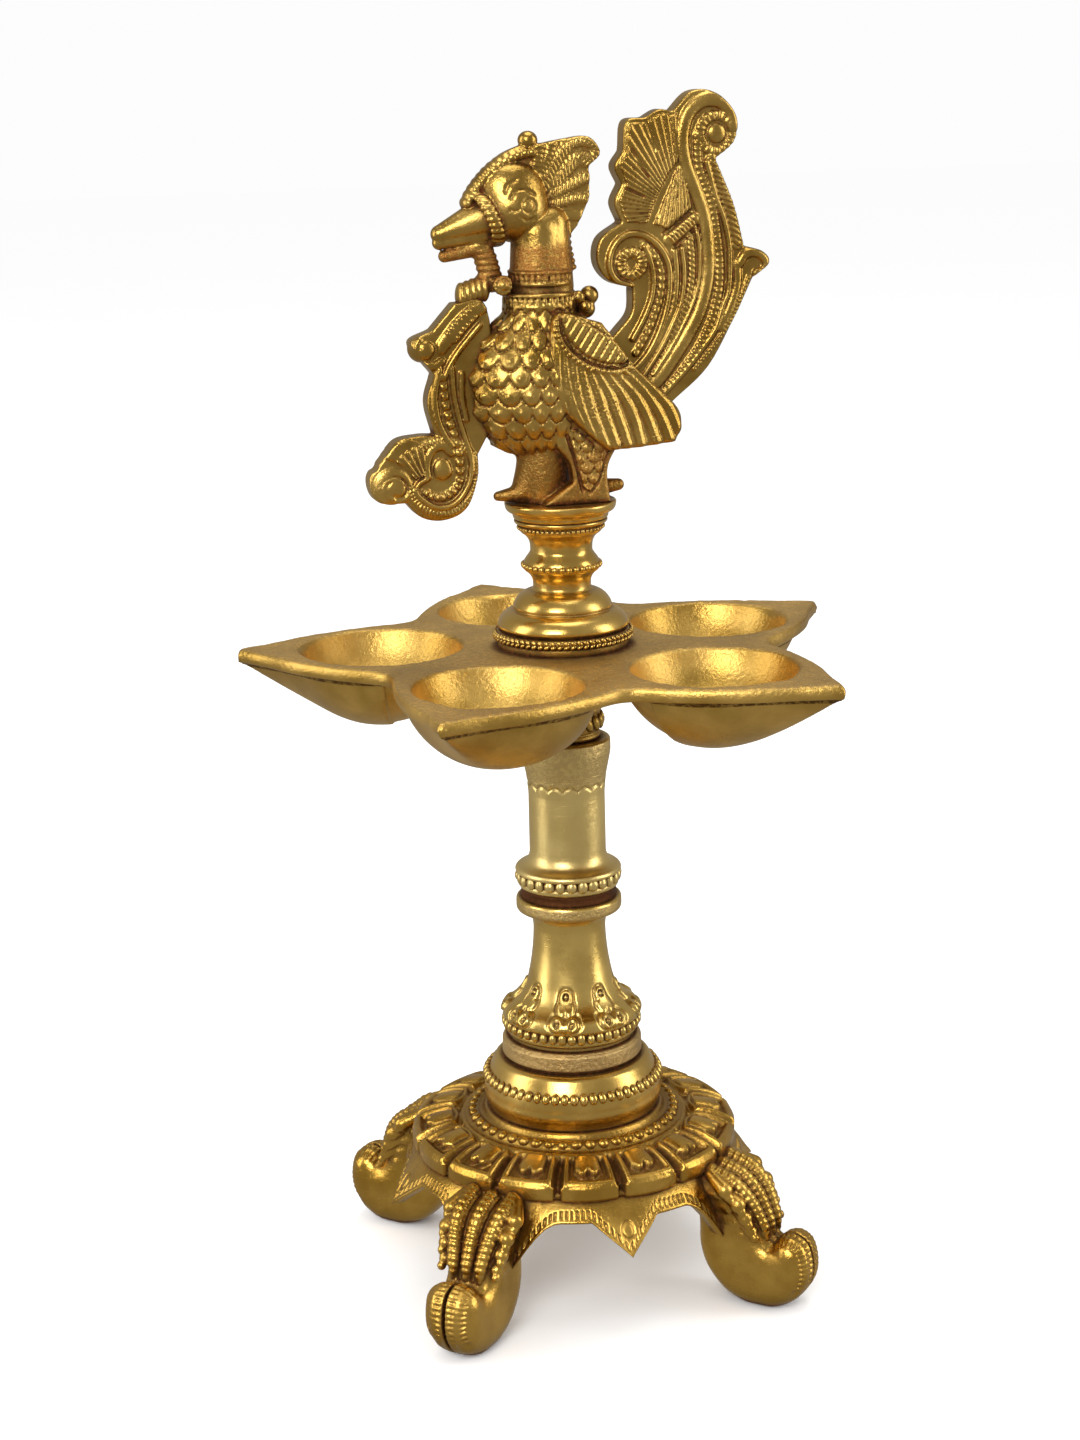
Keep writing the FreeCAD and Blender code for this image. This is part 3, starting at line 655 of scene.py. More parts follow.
def skirt(shell):
    """The flared wall between the feet, its lower edge an arch each side of a pointed pendant."""
    around, rows = int(1200 / COARSE), int(48 / COARSE)
    turn, level = np.meshgrid(np.arange(around) * TAU / around, np.arange(rows) / (rows - 1), indexing="ij")
    part = np.abs((np.degrees(turn) + 45) % 90 - 45)
    pendant = 22.6 + 7.6 * np.clip(part / 11.0, 0, 1) ** 0.9
    arch = 30.2 - 16.5 * ease(part, 20, 43) ** 1.4
    edge = np.minimum(pendant, arch)
    height = 35.0 - (35.0 - edge) * level
    flare = 0.72 - 0.40 * ease(part, 22, 41)
    radius = 40.6 + (35.0 - height) * flare + 0.5 * np.sin(level * math.pi)
    reach = height - edge
    hatch = (np.sin(turn * 200) > 0.0) * bump(reach, 1.9, 0.85, 4)
    border = bump(reach, 0.45, 0.45)
    ring = bump(np.hypot(part / 1.9, (height - 28.2) / 1.8), 1, 0.18)
    outer = radius + 0.25 * border - 0.5 * hatch - 0.5 * ring
    revolved(shell, np.hstack([turn, turn]), np.hstack([outer, (radius - 3.2)[:, ::-1]]),
             np.hstack([height, height[:, ::-1]]))


def leg_frame():
    shell = Shell()
    lathe(shell, [(BORE, 31.5), (39.6, 31.5), (39.9, 34.9), (BORE, 35.0)], around=96, step=1.0, soften=0)
    skirt(shell)
    verts, faces = foot_clay()
    for quarter in range(4):
        turn = math.radians(45 + 90 * quarter)
        cos, sin = math.cos(turn), math.sin(turn)
        shell.add(verts @ np.array([(cos, sin, 0), (-sin, cos, 0), (0, 0, 1)]), faces.tolist())
    finish("leg_frame", "base", CAST, shell)


# ---- lamp plate ---------------------------------------------------------------------------------------

CUPS = 5
BOWL_REACH = 45.5
PLATE_TOP = 167.0


def speckle(shape, coarse, strength):
    """Smooth random unevenness over a plane grid, its bumps about coarse cells wide."""
    field = random.standard_normal([int(count / coarse) + 3 for count in shape])
    for axis, count in enumerate(shape):
        place = np.arange(count) / coarse
        cell = place.astype(int)
        share = ease(place - cell, 0, 1)
        share = share[:, None] if axis == 0 else share
        first = np.take(field, cell, axis)
        field = first + (np.take(field, cell + 1, axis) - first) * share
    return strength * field


def leaf_edge(along, across):
    """Distance to a leaf of the plate: two arcs that meet at the spout's tip, a little hollow near it."""
    return np.hypot(along - 5.06, across + 65.75) - 101.5 + 0.8 * bump(along, 73.5, 5.0)


# half width and depth of the hull at distances from the axis
HULL = np.array([
    (38, 23.3, 19.0), (45.5, 23.5, 19.2), (51, 22.3, 18.7), (57, 19.2, 17.0), (63, 14.8, 14.2),
    (69, 10.0, 10.9), (75, 5.2, 7.3), (79.5, 2.2, 4.6), (84, 0.5, 3.0)])


def boat(along, across, below):
    """The hull under a bowl, round at the bowl and keeled towards the spout."""
    place, half, deep = curve(HULL).T
    half, deep = np.interp(along, place, half), np.interp(along, place, deep)
    keel = 2.05 - 0.62 * ease(along, 50, 72)
    share = ((across / half) ** keel + (np.maximum(below, 0) / deep) ** keel) ** (1 / keel)
    return (share - 1) * np.minimum(half, deep) * 0.85


def plate_clay():
    """Five leaves with a bowl in each; heights are from the plate's top face."""
    clay = Clay((-80, -68.5, -20.4), (80, 84, 1.2), 0.55)
    x, y, z = clay.axes[0][:, None, None], clay.axes[1][None, :, None], clay.axes[2][None, None, :]
    sector = TAU / CUPS
    turn = np.abs((np.arctan2(y, x) - TAU / 4 + sector / 2) % sector - sector / 2)
    radius = np.hypot(x, y)
    along, across = radius * np.cos(turn), radius * np.sin(turn)
    next_along, next_across = radius * np.cos(sector - turn), radius * np.sin(sector - turn)
    edge = smooth_low(leaf_edge(along, across), leaf_edge(next_along, next_across), 5.0)
    grid = (len(clay.axes[0]), len(clay.axes[1]))
    cast = speckle(grid, 3.4, 0.05) + speckle(grid, 9.0, 0.05)
    level = np.abs(z + 1.8) - 1.8 + cast[:, :, None] * (z > -1.8)
    band = smooth_high(edge + 0.25 + 0.12 * (z + 1.8) ** 2, level, 0.8)
    ball = span(along - BOWL_REACH, across, z - 5.02) - 24.0
    keel = np.maximum(boat(along, across, -z), np.maximum(43 - along, along - 81.8))
    hull = smooth_low(ball, keel, 1.0)
    solid = np.minimum(band, np.maximum(hull, z + 1.2))
    cup = span(along - BOWL_REACH, across, z - 4.36) - 20.86
    lip = (span((along - 60) / 9.5, across / 7.0, (z - 1.9) / 3.2) - 1) * 3.0
    solid = smooth_high(solid, -smooth_low(cup, lip, 1.5), 0.8)
    clay.field = smooth_high(solid, 9.0 - radius, 0.2).astype(np.float32)
    verts, faces = clay.surface()
    return verts + (0, 0, PLATE_TOP), faces


def lamp_plate():
    shell = Shell()
    verts, faces = plate_clay()
    shell.add(verts, faces.tolist())
    low = bottom("lamp_plate")
    lathe(shell, raised([
        (BORE, 0), (8.4, 0), (8.9, 0.4), (8.9, 1.4), (8.3, 1.8), (8.7, 2.2), (9.1, 4.4), (8.9, 6.9),
        (9.3, 7.3), (9.6, 7.9), (9.1, 8.6), (10.7, 13.9, -0.1), (16.5, 20.6, -0.2), (15.8, 22),
        (15.8, 23.7), (16.3, 24.1), (16.4, 25.4), (16.1, 26.0), (BORE, 26.0)], low), around=160)
    shell.bead_ring(9.0, low + 4.5, 22, (1.15, 1.05, 2.1), tilt=0.4)
    finish("lamp_plate", "plate", PLATE, shell)


# ---- bird ---------------------------------------------------------------------------------------------

STAND = 203.3


def string(clay, points, pitch, radii, blend=0.15):
    """Oval beads of the given half-sizes, evenly spaced along a curve through the points."""
    path = curve(points, 10)
    travelled = np.concatenate([[0], np.cumsum(np.linalg.norm(np.diff(path, axis=0), axis=1))])
    for place in np.arange(pitch / 2, travelled[-1], pitch):
        clay.ball([np.interp(place, travelled, path[:, axis]) for axis in range(3)], radii, blend)


class Relief:
    """A casting parallel to XZ inside a closed outline, with ridges, flutes and beads on its two faces."""

    def __init__(self, clay, outline, base):
        self.clay = clay
        self.x = clay.axes[0][:, None]
        self.z = clay.axes[2][None, :]
        self.edge = outline_distance(outline, self.x, self.z)
        self.base = base
        self.rise = np.zeros_like(self.edge)

    def inside(self, points):
        return outline_distance(np.array(points, float), self.x, self.z) < 0

    def ridge(self, points, width, rise, pitch=0.0, slant=0.0, depth=0.6):
        """A rounded ridge along a curve; pitch cuts it into ribs, slant leans them."""
        away, along, side = path_distance(curve(points, 5), self.x, self.z)
        lift = dome(away / width)
        if pitch:
            lift *= 1 - depth * (1 - np.abs(np.sin(math.pi * (along + slant * side * away) / pitch)))
        self.rise = np.maximum(self.rise, rise * lift)

    def groove(self, points, width, depth):
        away = path_distance(curve(points, 5), self.x, self.z)[0]
        self.rise -= depth * bump(away, 0, width)

    def fan(self, focus, period, region, rise, depth=0.7):
        """Flutes that spread from a point, one every period degrees, inside a region."""
        angle = np.degrees(np.arctan2(self.z - focus[1], self.x - focus[0]))
        lift = rise * (1 - depth * (1 - np.abs(np.sin(math.pi * angle / period))))
        self.rise = np.where(region, np.maximum(self.rise, lift), self.rise)

    def ring(self, centre, inner, outer, count, rise):
        """Radiating ribs between two radii."""
        away = np.hypot(self.x - centre[0], self.z - centre[1])
        middle, half = (inner + outer) / 2, (outer - inner) / 2
        angle = np.arctan2(self.z - centre[1], self.x - centre[0])
        lift = dome((away - middle) / half)
        lift *= 0.35 + 0.65 * np.abs(np.sin(angle * count / 2))
        self.rise = np.maximum(self.rise, rise * lift)

    def boss(self, centre, radius, rise):
        away = np.hypot(self.x - centre[0], self.z - centre[1])
        self.rise = np.maximum(self.rise, rise * dome(away / radius))

    def press(self, soft=0.8, inner=0.0):
        """Adds the casting to the clay; inner leaves a gap between its two faces."""
        face = (self.base + self.rise)[:, None, :]
        edge = self.edge[:, None, :]

        def shape(x, y, z):
            return np.maximum(smooth_high(edge, np.abs(y) - face, soft), inner - np.abs(y))

        self.clay.add(shape)


def finish_clay(clay, name, material):
    verts, faces = clay.surface()
    add_piece(name + "_brass", verts, faces.tolist(), "finial", [name], material)


def above_disc(runs):
    return runs_outline([[(x, z + STAND) for x, z in run] for run in runs])


TAIL = [
    [(12, 14), (28.5, 22.8)],
    [(38.1, 31.2), (45.6, 44.1), (49.8, 52.4)],
    [(54, 55.8), (52.4, 58.4), (47.4, 60)],
    [(44.6, 70.5), (40.1, 81)],
    [(45, 85.3), (45.2, 91.3), (40.2, 96.6), (34.2, 97), (29.2, 92.5)],
    [(26, 93), (22.4, 91.2)],
    [(17.6, 90.4), (16.7, 83.6)],
    [(14.5, 80), (16.2, 75.8)],
    [(14.3, 71.4), (16, 66.8)],
    [(10.6, 63), (9.8, 57.2), (13, 52.8), (18.6, 51.1)],
    [(18.2, 45.2), (14.8, 41)],
    [(4, 30)],
]
BREAST_SCROLL = [
    [(-18, 48), (-26, 49.4)],
    [(-31.6, 43.3)],
    [(-37, 40.4), (-32.7, 34.2)],
    [(-31.6, 32.7)],
    [(-33.4, 26), (-31.7, 18.2)],
    [(-35.6, 18.3), (-41, 17.4), (-44.4, 13.7)],
    [(-48.2, 8.6), (-46.4, 3), (-39.4, 2.2)],
    [(-35.6, -1.6), (-30.1, -2.6), (-24.6, -0.2), (-21.6, 7), (-21.2, 13)],
    [(-16, 22)],
]
WING = [
    [(-3.4, 46.2), (-4.2, 34), (-1.5, 23.3), (9.2, 13)],
    [(18, 13.4), (26.7, 14.2)],
    [(28.3, 18.6), (26.4, 23.6), (16.4, 32.7)],
    [(8, 44)],
]
CREST = [
    [(-22, 71.5), (-15.6, 81.6), (-8.8, 85.4), (-2.5, 86)],
    [(3.1, 86.9), (8.6, 87.1), (11.3, 83.3), (8.5, 80.4)],
    [(8.4, 73), (5.4, 66.3)],
    [(-1, 60), (-5, 70), (-16, 74)],
]


def peacock_tail():
    clay = Clay((3, -4.4, 216), (55.5, 4.4, 301.8), 0.3)
    relief = Relief(clay, above_disc(TAIL), 2.95)
    # smooth band that sweeps up into the top scroll
    relief.ridge([
        (20, 227.5), (25.4, 232.6), (28.9, 237.2), (32.4, 242.2), (35.6, 248), (37.4, 254), (38, 259.7),
        (37.6, 266.4), (36.7, 271.6), (34.7, 277.2), (32.6, 282.6), (31.6, 287.6), (32, 292.2),
        (33.8, 295.9), (37.4, 298.2), (41.2, 297.8), (43.8, 295.4), (44.6, 292)], 1.75, 1.05)
    # ribs and boss inside the scroll
    relief.ring((40.3, 290.3), 2.9, 5.5, 19, 0.85)
    relief.boss((40.3, 290.3), 2.4, 1.0)
    relief.ridge([
        (35.3, 290.4), (35.6, 283.2), (37.3, 278.1), (39.1, 273.1), (40.2, 266.3), (40.9, 259.6),
        (40.6, 252.8), (38.9, 246.2), (35.9, 240.2), (32.3, 235.2), (28.2, 230.7), (24, 227)], 1.15, 0.85,
        1.45)
    relief.ridge([
        (37.6, 283.6), (39.8, 275.7), (41.9, 270.3), (43.2, 264.5), (43.5, 259.5), (43.1, 252.7),
        (41.8, 249.4), (39.6, 243.4), (35.9, 238.5), (32.2, 234.2), (27.5, 229.6), (23, 226)], 0.75, 0.95)
    relief.ridge([
        (38.9, 284), (41.2, 278), (43.2, 273.6), (44.5, 268.8), (45.5, 264.1)], 1.75, 0.85, 1.55, 0.9,
        0.75)
    # right-hand band, its bead line and the hook
    relief.ridge([(45.4, 259.5), (45.4, 254), (43.6, 248.6), (41, 243.8)], 1.1, 0.75)
    relief.ridge([
        (48.6, 256), (46.9, 252), (44.8, 247.4), (42, 243), (38.6, 238.8), (34, 234)], 0.7, 0.7, 1.0)
    relief.ridge([
        (46, 259), (47.7, 261.2), (50.4, 261.5), (52.6, 259.6), (52.3, 257.2), (50.4, 256.6)], 1.2, 1.0)
    relief.groove([(48.6, 257.6), (50.4, 259.3), (51.4, 258.6)], 0.7, 0.9)
    # C-shaped scroll low on the front
    relief.ring((18.4, 260.2), 1.3, 4.1, 15, 0.95)
    relief.ridge([
        (17.8, 254.9), (14.6, 256.2), (12.9, 259), (13.0, 262.4), (14.8, 265.6), (17.9, 267.2),
        (21.8, 266.7), (25.4, 263.9), (27.5, 260.2), (28, 256), (27.3, 250.1), (25.1, 243.5),
        (22.1, 238.2), (18, 234)], 0.85, 0.95)
    relief.ridge([
        (21.6, 264.1), (23, 261), (23.8, 256.9), (23.3, 252), (21.2, 247), (18.3, 242.1)], 0.75, 0.95)
    relief.ridge([
        (21.4, 265), (24.6, 261.6), (26, 257.2), (25.4, 251.6), (23.7, 246.9), (21.7, 242.9), (19, 238.6)],
        0.95, 0.75, 1.9)
    # ridges and braid between the scroll and the band
    relief.ridge([
        (29.4, 262.8), (29.8, 256.1), (28.8, 248.8), (26, 243), (23.2, 238.6), (19, 233)], 0.8, 0.55)
    relief.ridge([
        (31.1, 263.4), (31.7, 256.8), (30.7, 250), (28, 244), (25, 238.7), (20.6, 232.6)], 0.7, 0.95)
    relief.ridge([
        (33.3, 266.2), (33.8, 260), (33.4, 253.9), (31.9, 248.6), (29.3, 243.2), (27, 238.6), (22, 231)],
        1.0, 0.75, 1.3, 0.5)
    relief.ridge([
        (34.8, 268), (35.6, 263.2), (35.4, 255.8), (33.7, 249.8), (30.9, 244.2), (28, 239.4),
        (23.6, 233.2)], 0.6, 0.9)
    # fluted lobes, the leaf beside them and its ribbed tie
    lobes = relief.inside([
        (30.4, 296), (22.5, 294.4), (18.6, 293.8), (17, 287), (15.4, 285.1), (17, 280), (15.2, 276),
        (16.6, 270.4), (22.8, 269.6), (25, 274.6), (27.6, 279.8), (30.1, 283.4)])
    relief.fan((31, 272), 4.6, lobes & (relief.edge < -1.1), 0.75)
    leaf = relief.inside([
        (24.2, 269.4), (26.6, 274.6), (29, 279.6), (30.6, 284.6), (32.2, 279.4), (33.8, 273), (28, 268)])
    relief.fan((30.8, 291), 3.1, leaf, 0.7)
    relief.groove([(22.9, 269.6), (24.8, 274.4), (27.4, 279.2), (30.2, 283)], 0.55, 0.9)
    for notch in ((18.6, 287, 22.8, 280.5), (17.2, 278.1, 21.4, 276), (22.4, 293.6, 24.6, 287)):
        relief.groove([notch[:2], notch[2:]], 0.35, 0.5)
    relief.ridge([(28.1, 265.4), (34.5, 270.2)], 1.5, 1.0, 0.95)
    relief.groove([(26.6, 267), (33.4, 272.2)], 0.4, 0.5)
    relief.groove([(29.4, 263.5), (35.2, 268.2)], 0.4, 0.5)
    relief.press()
    finish_clay(clay, "peacock_tail", BIRD)


def breast_scroll():
    clay = Clay((-49, -4.4, 200), (-14, 4.4, 253.6), 0.3)
    relief = Relief(clay, above_disc(BREAST_SCROLL), 2.95)
    # strip of beads from the neck to the bud, and the bud's curl
    relief.ridge([
        (-19.5, 251.6), (-22.7, 249.9), (-25.4, 247.6), (-27.9, 244.6), (-29.6, 242.4)], 1.7, 0.7)
    relief.ridge([(-22, 251.4), (-25.6, 248.4), (-28.4, 245.2)], 0.8, 1.0, 1.5)
    relief.ridge([(-20.6, 249.8), (-23.4, 247.1), (-26.2, 244)], 0.7, 0.95, 1.3)
    relief.ridge([(-20, 247.4), (-22.6, 244.6), (-25.4, 241.4), (-27.8, 238), (-28.9, 235.6)], 0.75, 0.85)
    relief.ridge([(-29.6, 239.2), (-32, 238.1), (-34.8, 239), (-36, 241.8), (-34.8, 244.2)], 1.0, 0.75)
    relief.boss((-33.4, 242), 2.3, 1.05)
    relief.groove([(-35.2, 241.4), (-34.6, 244), (-32, 244.6), (-30.9, 242.2), (-32, 240)], 0.35, 0.5)
    # upright: ridge, beads, ridge, and a plain edge beside the breast
    relief.ridge([
        (-30.2, 237.2), (-31, 234.4), (-31.6, 231), (-31.4, 227.4), (-30.6, 224), (-29.2, 221),
        (-27.8, 218.8)], 0.85, 0.95)
    relief.ridge([
        (-29.6, 236.6), (-29.3, 232.4), (-29, 229), (-28.3, 225.4), (-27.2, 222), (-26.2, 218.6),
        (-26, 215.6), (-26, 212.6)], 1.05, 0.85, 2.35, depth=0.85)
    relief.ridge([
        (-27.2, 237.4), (-27, 232.3), (-26.4, 228.1), (-25.4, 223.6), (-24.2, 219.6), (-23.3, 216.6),
        (-23.1, 213), (-24, 209.2), (-26.2, 205.9), (-29.2, 204.1), (-32.2, 204.2), (-35, 205.8),
        (-37, 208), (-36.4, 210), (-34.4, 211.2)], 0.75, 0.95)
    relief.ridge([(-24.8, 236), (-24.9, 230), (-24, 225)], 0.8, 0.6)
    # curl with its boss, arc of beads and ribbed rim
    relief.ridge([
        (-25.8, 211), (-26.9, 208.6), (-28.8, 207.1), (-31, 206.5), (-33.2, 207), (-35.2, 208.4)], 1.0,
        0.9, 1.5, depth=0.85)
    relief.ring((-30.2, 211.4), 7.6, 9.9, 62, 0.75)
    relief.boss((-30.3, 213.4), 2.7, 1.05)
    relief.ridge([(-34, 211.8), (-34, 215.4), (-32.6, 218.2), (-30, 218.9), (-28, 217.2)], 1.1, 0.8)
    relief.groove([(-32.8, 211.8), (-32.9, 214.4), (-31.2, 216.8), (-28.8, 216), (-27.6, 213)], 0.4, 0.6)
    # fluted leaf and the far ball with its curl
    leaf = relief.inside([
        (-44.4, 217), (-42, 219.8), (-38.4, 221.2), (-35.2, 219.8), (-34.2, 215.6), (-34.4, 212),
        (-37, 211.4), (-39.6, 213.8)])
    relief.rise = np.where(leaf, np.maximum(relief.rise, 0.45), relief.rise)
    relief.fan((-33.6, 208.4), 9.5, leaf & (np.hypot(relief.x + 34, relief.z - 210) < 9.6), 0.95, 0.8)
    relief.groove([(-44.6, 216), (-41.4, 215), (-38.8, 212.8), (-37.6, 210.6)], 0.5, 1.2)
    relief.boss((-42.6, 209.6), 4.9, 1.0)
    relief.groove([
        (-44.4, 210.4), (-42.6, 211.9), (-40.4, 211.4), (-39.2, 209.4), (-40.2, 207.4), (-42.4, 207.2)],
        0.45, 0.7)
    relief.boss((-41.8, 209.4), 1.4, 1.05)
    relief.press()
    clay.ball((-42.5, 0, 209.3), (4.6, 4.05, 4.3), 0.4)
    clay.ball((-34.0, 0, 242.2), (3.2, 3.9, 3.3), 0.4)
    clay.ball((-30.3, 0, 213.4), (2.3, 3.9, 2.6), 0.2)
    for side in (-1, 1):
        string(clay, [(-42.5 + 2.6 * math.cos(turn), side * 3.4, 209.3 + 2.4 * math.sin(turn))
                      for turn in np.linspace(0.4, 4.6, 9)], 0.6, (0.5, 0.6, 0.5), 0.2)
    clay.cut(lambda x, y, z: np.hypot(x + 47.6, z - 215.4) - 1.9 + 0 * y)
    finish_clay(clay, "breast_scroll", BIRD)


def scales(across, down, width, drop):
    """Height of overlapping rounded scales in staggered rows; down grows towards the lower edges."""
    best = np.zeros(np.broadcast(across, down).shape)
    covered = np.zeros(best.shape, bool)
    first = np.floor(down / drop) - 1
    for step in range(4):
        row = first + step
        centre = (row + 0.5) * drop
        shift = 0.5 * (row % 2)
        column = np.round(across / width - shift) + shift
        side = (across - column * width) / (0.57 * width)
        fall = (down - centre) / (0.95 * drop)
        away = np.hypot(side, fall)
        lift = 0.85 * (0.5 + 0.5 * fall) * (1 - 0.25 * away ** 2)
        lift -= 0.75 * bump(away, 1, 0.12)
        lift += 0.4 * np.exp(-((side / 0.2) ** 2 + ((fall - 0.35) / 0.2) ** 2))
        here = (away < 1) & ~covered
        best = np.where(here, lift, best)
        covered |= away < 1
    return best


def bird_body(clay):
    """Breast and back with scales, and the neck with two beaded collars."""
    clay.ball((-4.5, 0, 232.3), (18.1, 11.4, 17.8))
    clay.rod((-5, 0, 241.5), (-4.3, 0, 250), 9.6, 8.2, 2.0)
    window, x, y, z = clay.window((-25, -13, 213), (17, 13, 252))
    turn = np.arctan2(y, -(x + 4.5))
    clay.field[window] -= scales(turn * 13.6, 260 - z, 5.1, 4.3).astype(np.float32)
    clay.rod((-4.3, 0, 250), (-4.4, 0, 268), 7.4, 6.3, 0.5)
    clay.rod((-2.6, 0, 256), (-1.6, 0, 270), 6.9, 5.0, 0.5)
    for centre, level, radius, count in ((-3.8, 257.9, 7.1, 30), (-4.4, 252.6, 8.0, 34)):
        for height in (level - 1.35, level + 1.35):
            clay.add(lambda x, y, z: np.hypot(np.hypot(x - centre, y) - radius - 0.3, z - height) - 0.55,
                     (-15, -10, height - 2), (8, 10, height + 2))
        for index in range(count):
            angle = TAU * index / count
            clay.ball((centre + (radius + 0.1) * math.cos(angle), (radius + 0.1) * math.sin(angle), level),
                      (0.72, 0.72, 1.25))


def bird_head(clay):
    """Smooth head with an engraved eye, two-part beak and strap."""
    clay.ball((-9.8, 0, 274.6), (8.4, 6.9, 8.4))
    clay.ball((-10.6, 0, 278.4), (8.2, 5.6, 7.2), 1.0)
    clay.rod((-17, 0, 272.6), (-28.4, 0, 268.9), 4.9, 2.2, 0.8)
    clay.rod((-18, 0, 268.9), (-28.6, 0, 266.9), 3.0, 1.7)
    clay.rod((-18, 0, 265.7), (-27.4, 0, 263.7), 2.2, 1.5)
    strap = [
        (-19.6, 278.2, 0), (-18.6, 276.6, 4.0), (-17, 273.3, 5.7), (-15.6, 270, 5.2), (-14.8, 267.4, 3.4),
        (-14.6, 266.2, 0)]
    for side in (-1, 1):
        string(clay, [(x, side * y, z) for x, z, y in strap], 1.5, (1.9, 1.35, 0.95))
    window, x, y, z = clay.window((-19, -9, 265), (0, 9, 284))
    outer = np.abs(y) > 3.2
    lines = [([(-12.6, 274.2), (-11.4, 273.9), (-10.2, 274.4)], 0.3, 0.4),
             ([(-13.4, 278.2), (-12.6, 280), (-10.6, 281)], 0.35, 0.4),
             ([(-12.2, 277), (-10.8, 278.6), (-8.4, 278.8), (-6.4, 277.6)], 0.3, 0.45),
             ([(-10.2, 272.6), (-8.4, 271.6), (-6.6, 272.2)], 0.3, 0.35)]
    for points, width, depth in lines:
        away = path_distance(curve(points, 6), x[:, 0], z[0])[0][:, None, :]
        clay.field[window] += (depth * bump(away, 0, width) * outer).astype(np.float32)
    pupil = np.hypot(x + 8.0, z - 275)
    clay.field[window] += (0.4 * bump(pupil, 1.55, 0.33) * outer).astype(np.float32)


def bird_crest(clay):
    """Upright plate of ribbed feathers behind the head, the ball on top, and the braid down the neck."""
    relief = Relief(clay, above_disc(CREST), 1.55)
    relief.ridge([(-3.6, 289), (-4.6, 284), (-5.4, 281)], 1.4, 0.9, 1.1)
    relief.ridge([(-0.6, 289.4), (-1.6, 286), (-4.2, 281.6)], 1.3, 0.8, 1.1)
    relief.ridge([
        (10.2, 284.8), (10.4, 287.6), (8, 289.4), (4.4, 289), (1.4, 286.4), (-1.2, 282.6), (-3, 279)], 1.5,
        0.95, 1.15, 0.6)
    relief.ridge([(8.4, 285), (5.4, 285.4), (2.4, 282.8), (-0.8, 279.6)], 2.0, 0.9, 1.1, 0.7)
    relief.ridge([(7.6, 281), (4, 279.4), (-0.6, 277.4)], 1.6, 0.85, 1.1, 0.6)
    relief.ridge([(7.6, 276.2), (4.2, 276), (-0.4, 275)], 1.5, 0.8, 1.1, 0.4)
    relief.ridge([(5.6, 272), (-0.4, 272.4)], 1.3, 0.55)
    relief.press(0.6)
    string(clay, [
        (-21.9, 0, 275.2), (-20.4, 0, 278), (-18, 0, 281), (-15.1, 0, 283.7), (-11.6, 0, 285.8),
        (-7.8, 0, 287), (-5.4, 0, 287.2)], 1.7, (1.7, 3.0, 1.7))
    clay.ball((-6.2, 0, 290), (2.4, 2.3, 2.2))
    string(clay, [(3.0, 0, 271), (2.9, 0, 266), (3.6, 0, 262), (4.2, 0, 259)], 1.5, (1.3, 1.7, 0.85))


def bird_garland(clay):
    """Textured garland from the beak to the breast, its foot, and the small ring beside it."""
    string(clay, [
        (-19.3, 0, 266.6), (-17.8, 0, 264), (-16.9, 0, 261), (-16.2, 0, 258), (-16.6, 0, 255.4)], 1.5,
        (3.0, 2.5, 1.25), 0.3)
    string(clay, [
        (-24.4, 0, 253.9), (-22, 0, 254.6), (-18.8, 0, 255.6), (-16.6, 0, 256.0)], 1.5, (1.3, 2.9, 3.3),
        0.3)
    for side in (-1, 1):
        string(clay, [(-14.4 + 1.9 * math.cos(turn), side * 4.6, 256.6 + 1.9 * math.sin(turn))
                      for turn in np.linspace(0, TAU, 9)], 0.9, (0.6, 0.8, 0.6), 0.2)
        clay.rod((-14.4, side * 1.5, 256.6), (-14.4, side * 4.4, 256.6), 2.0, 1.6)


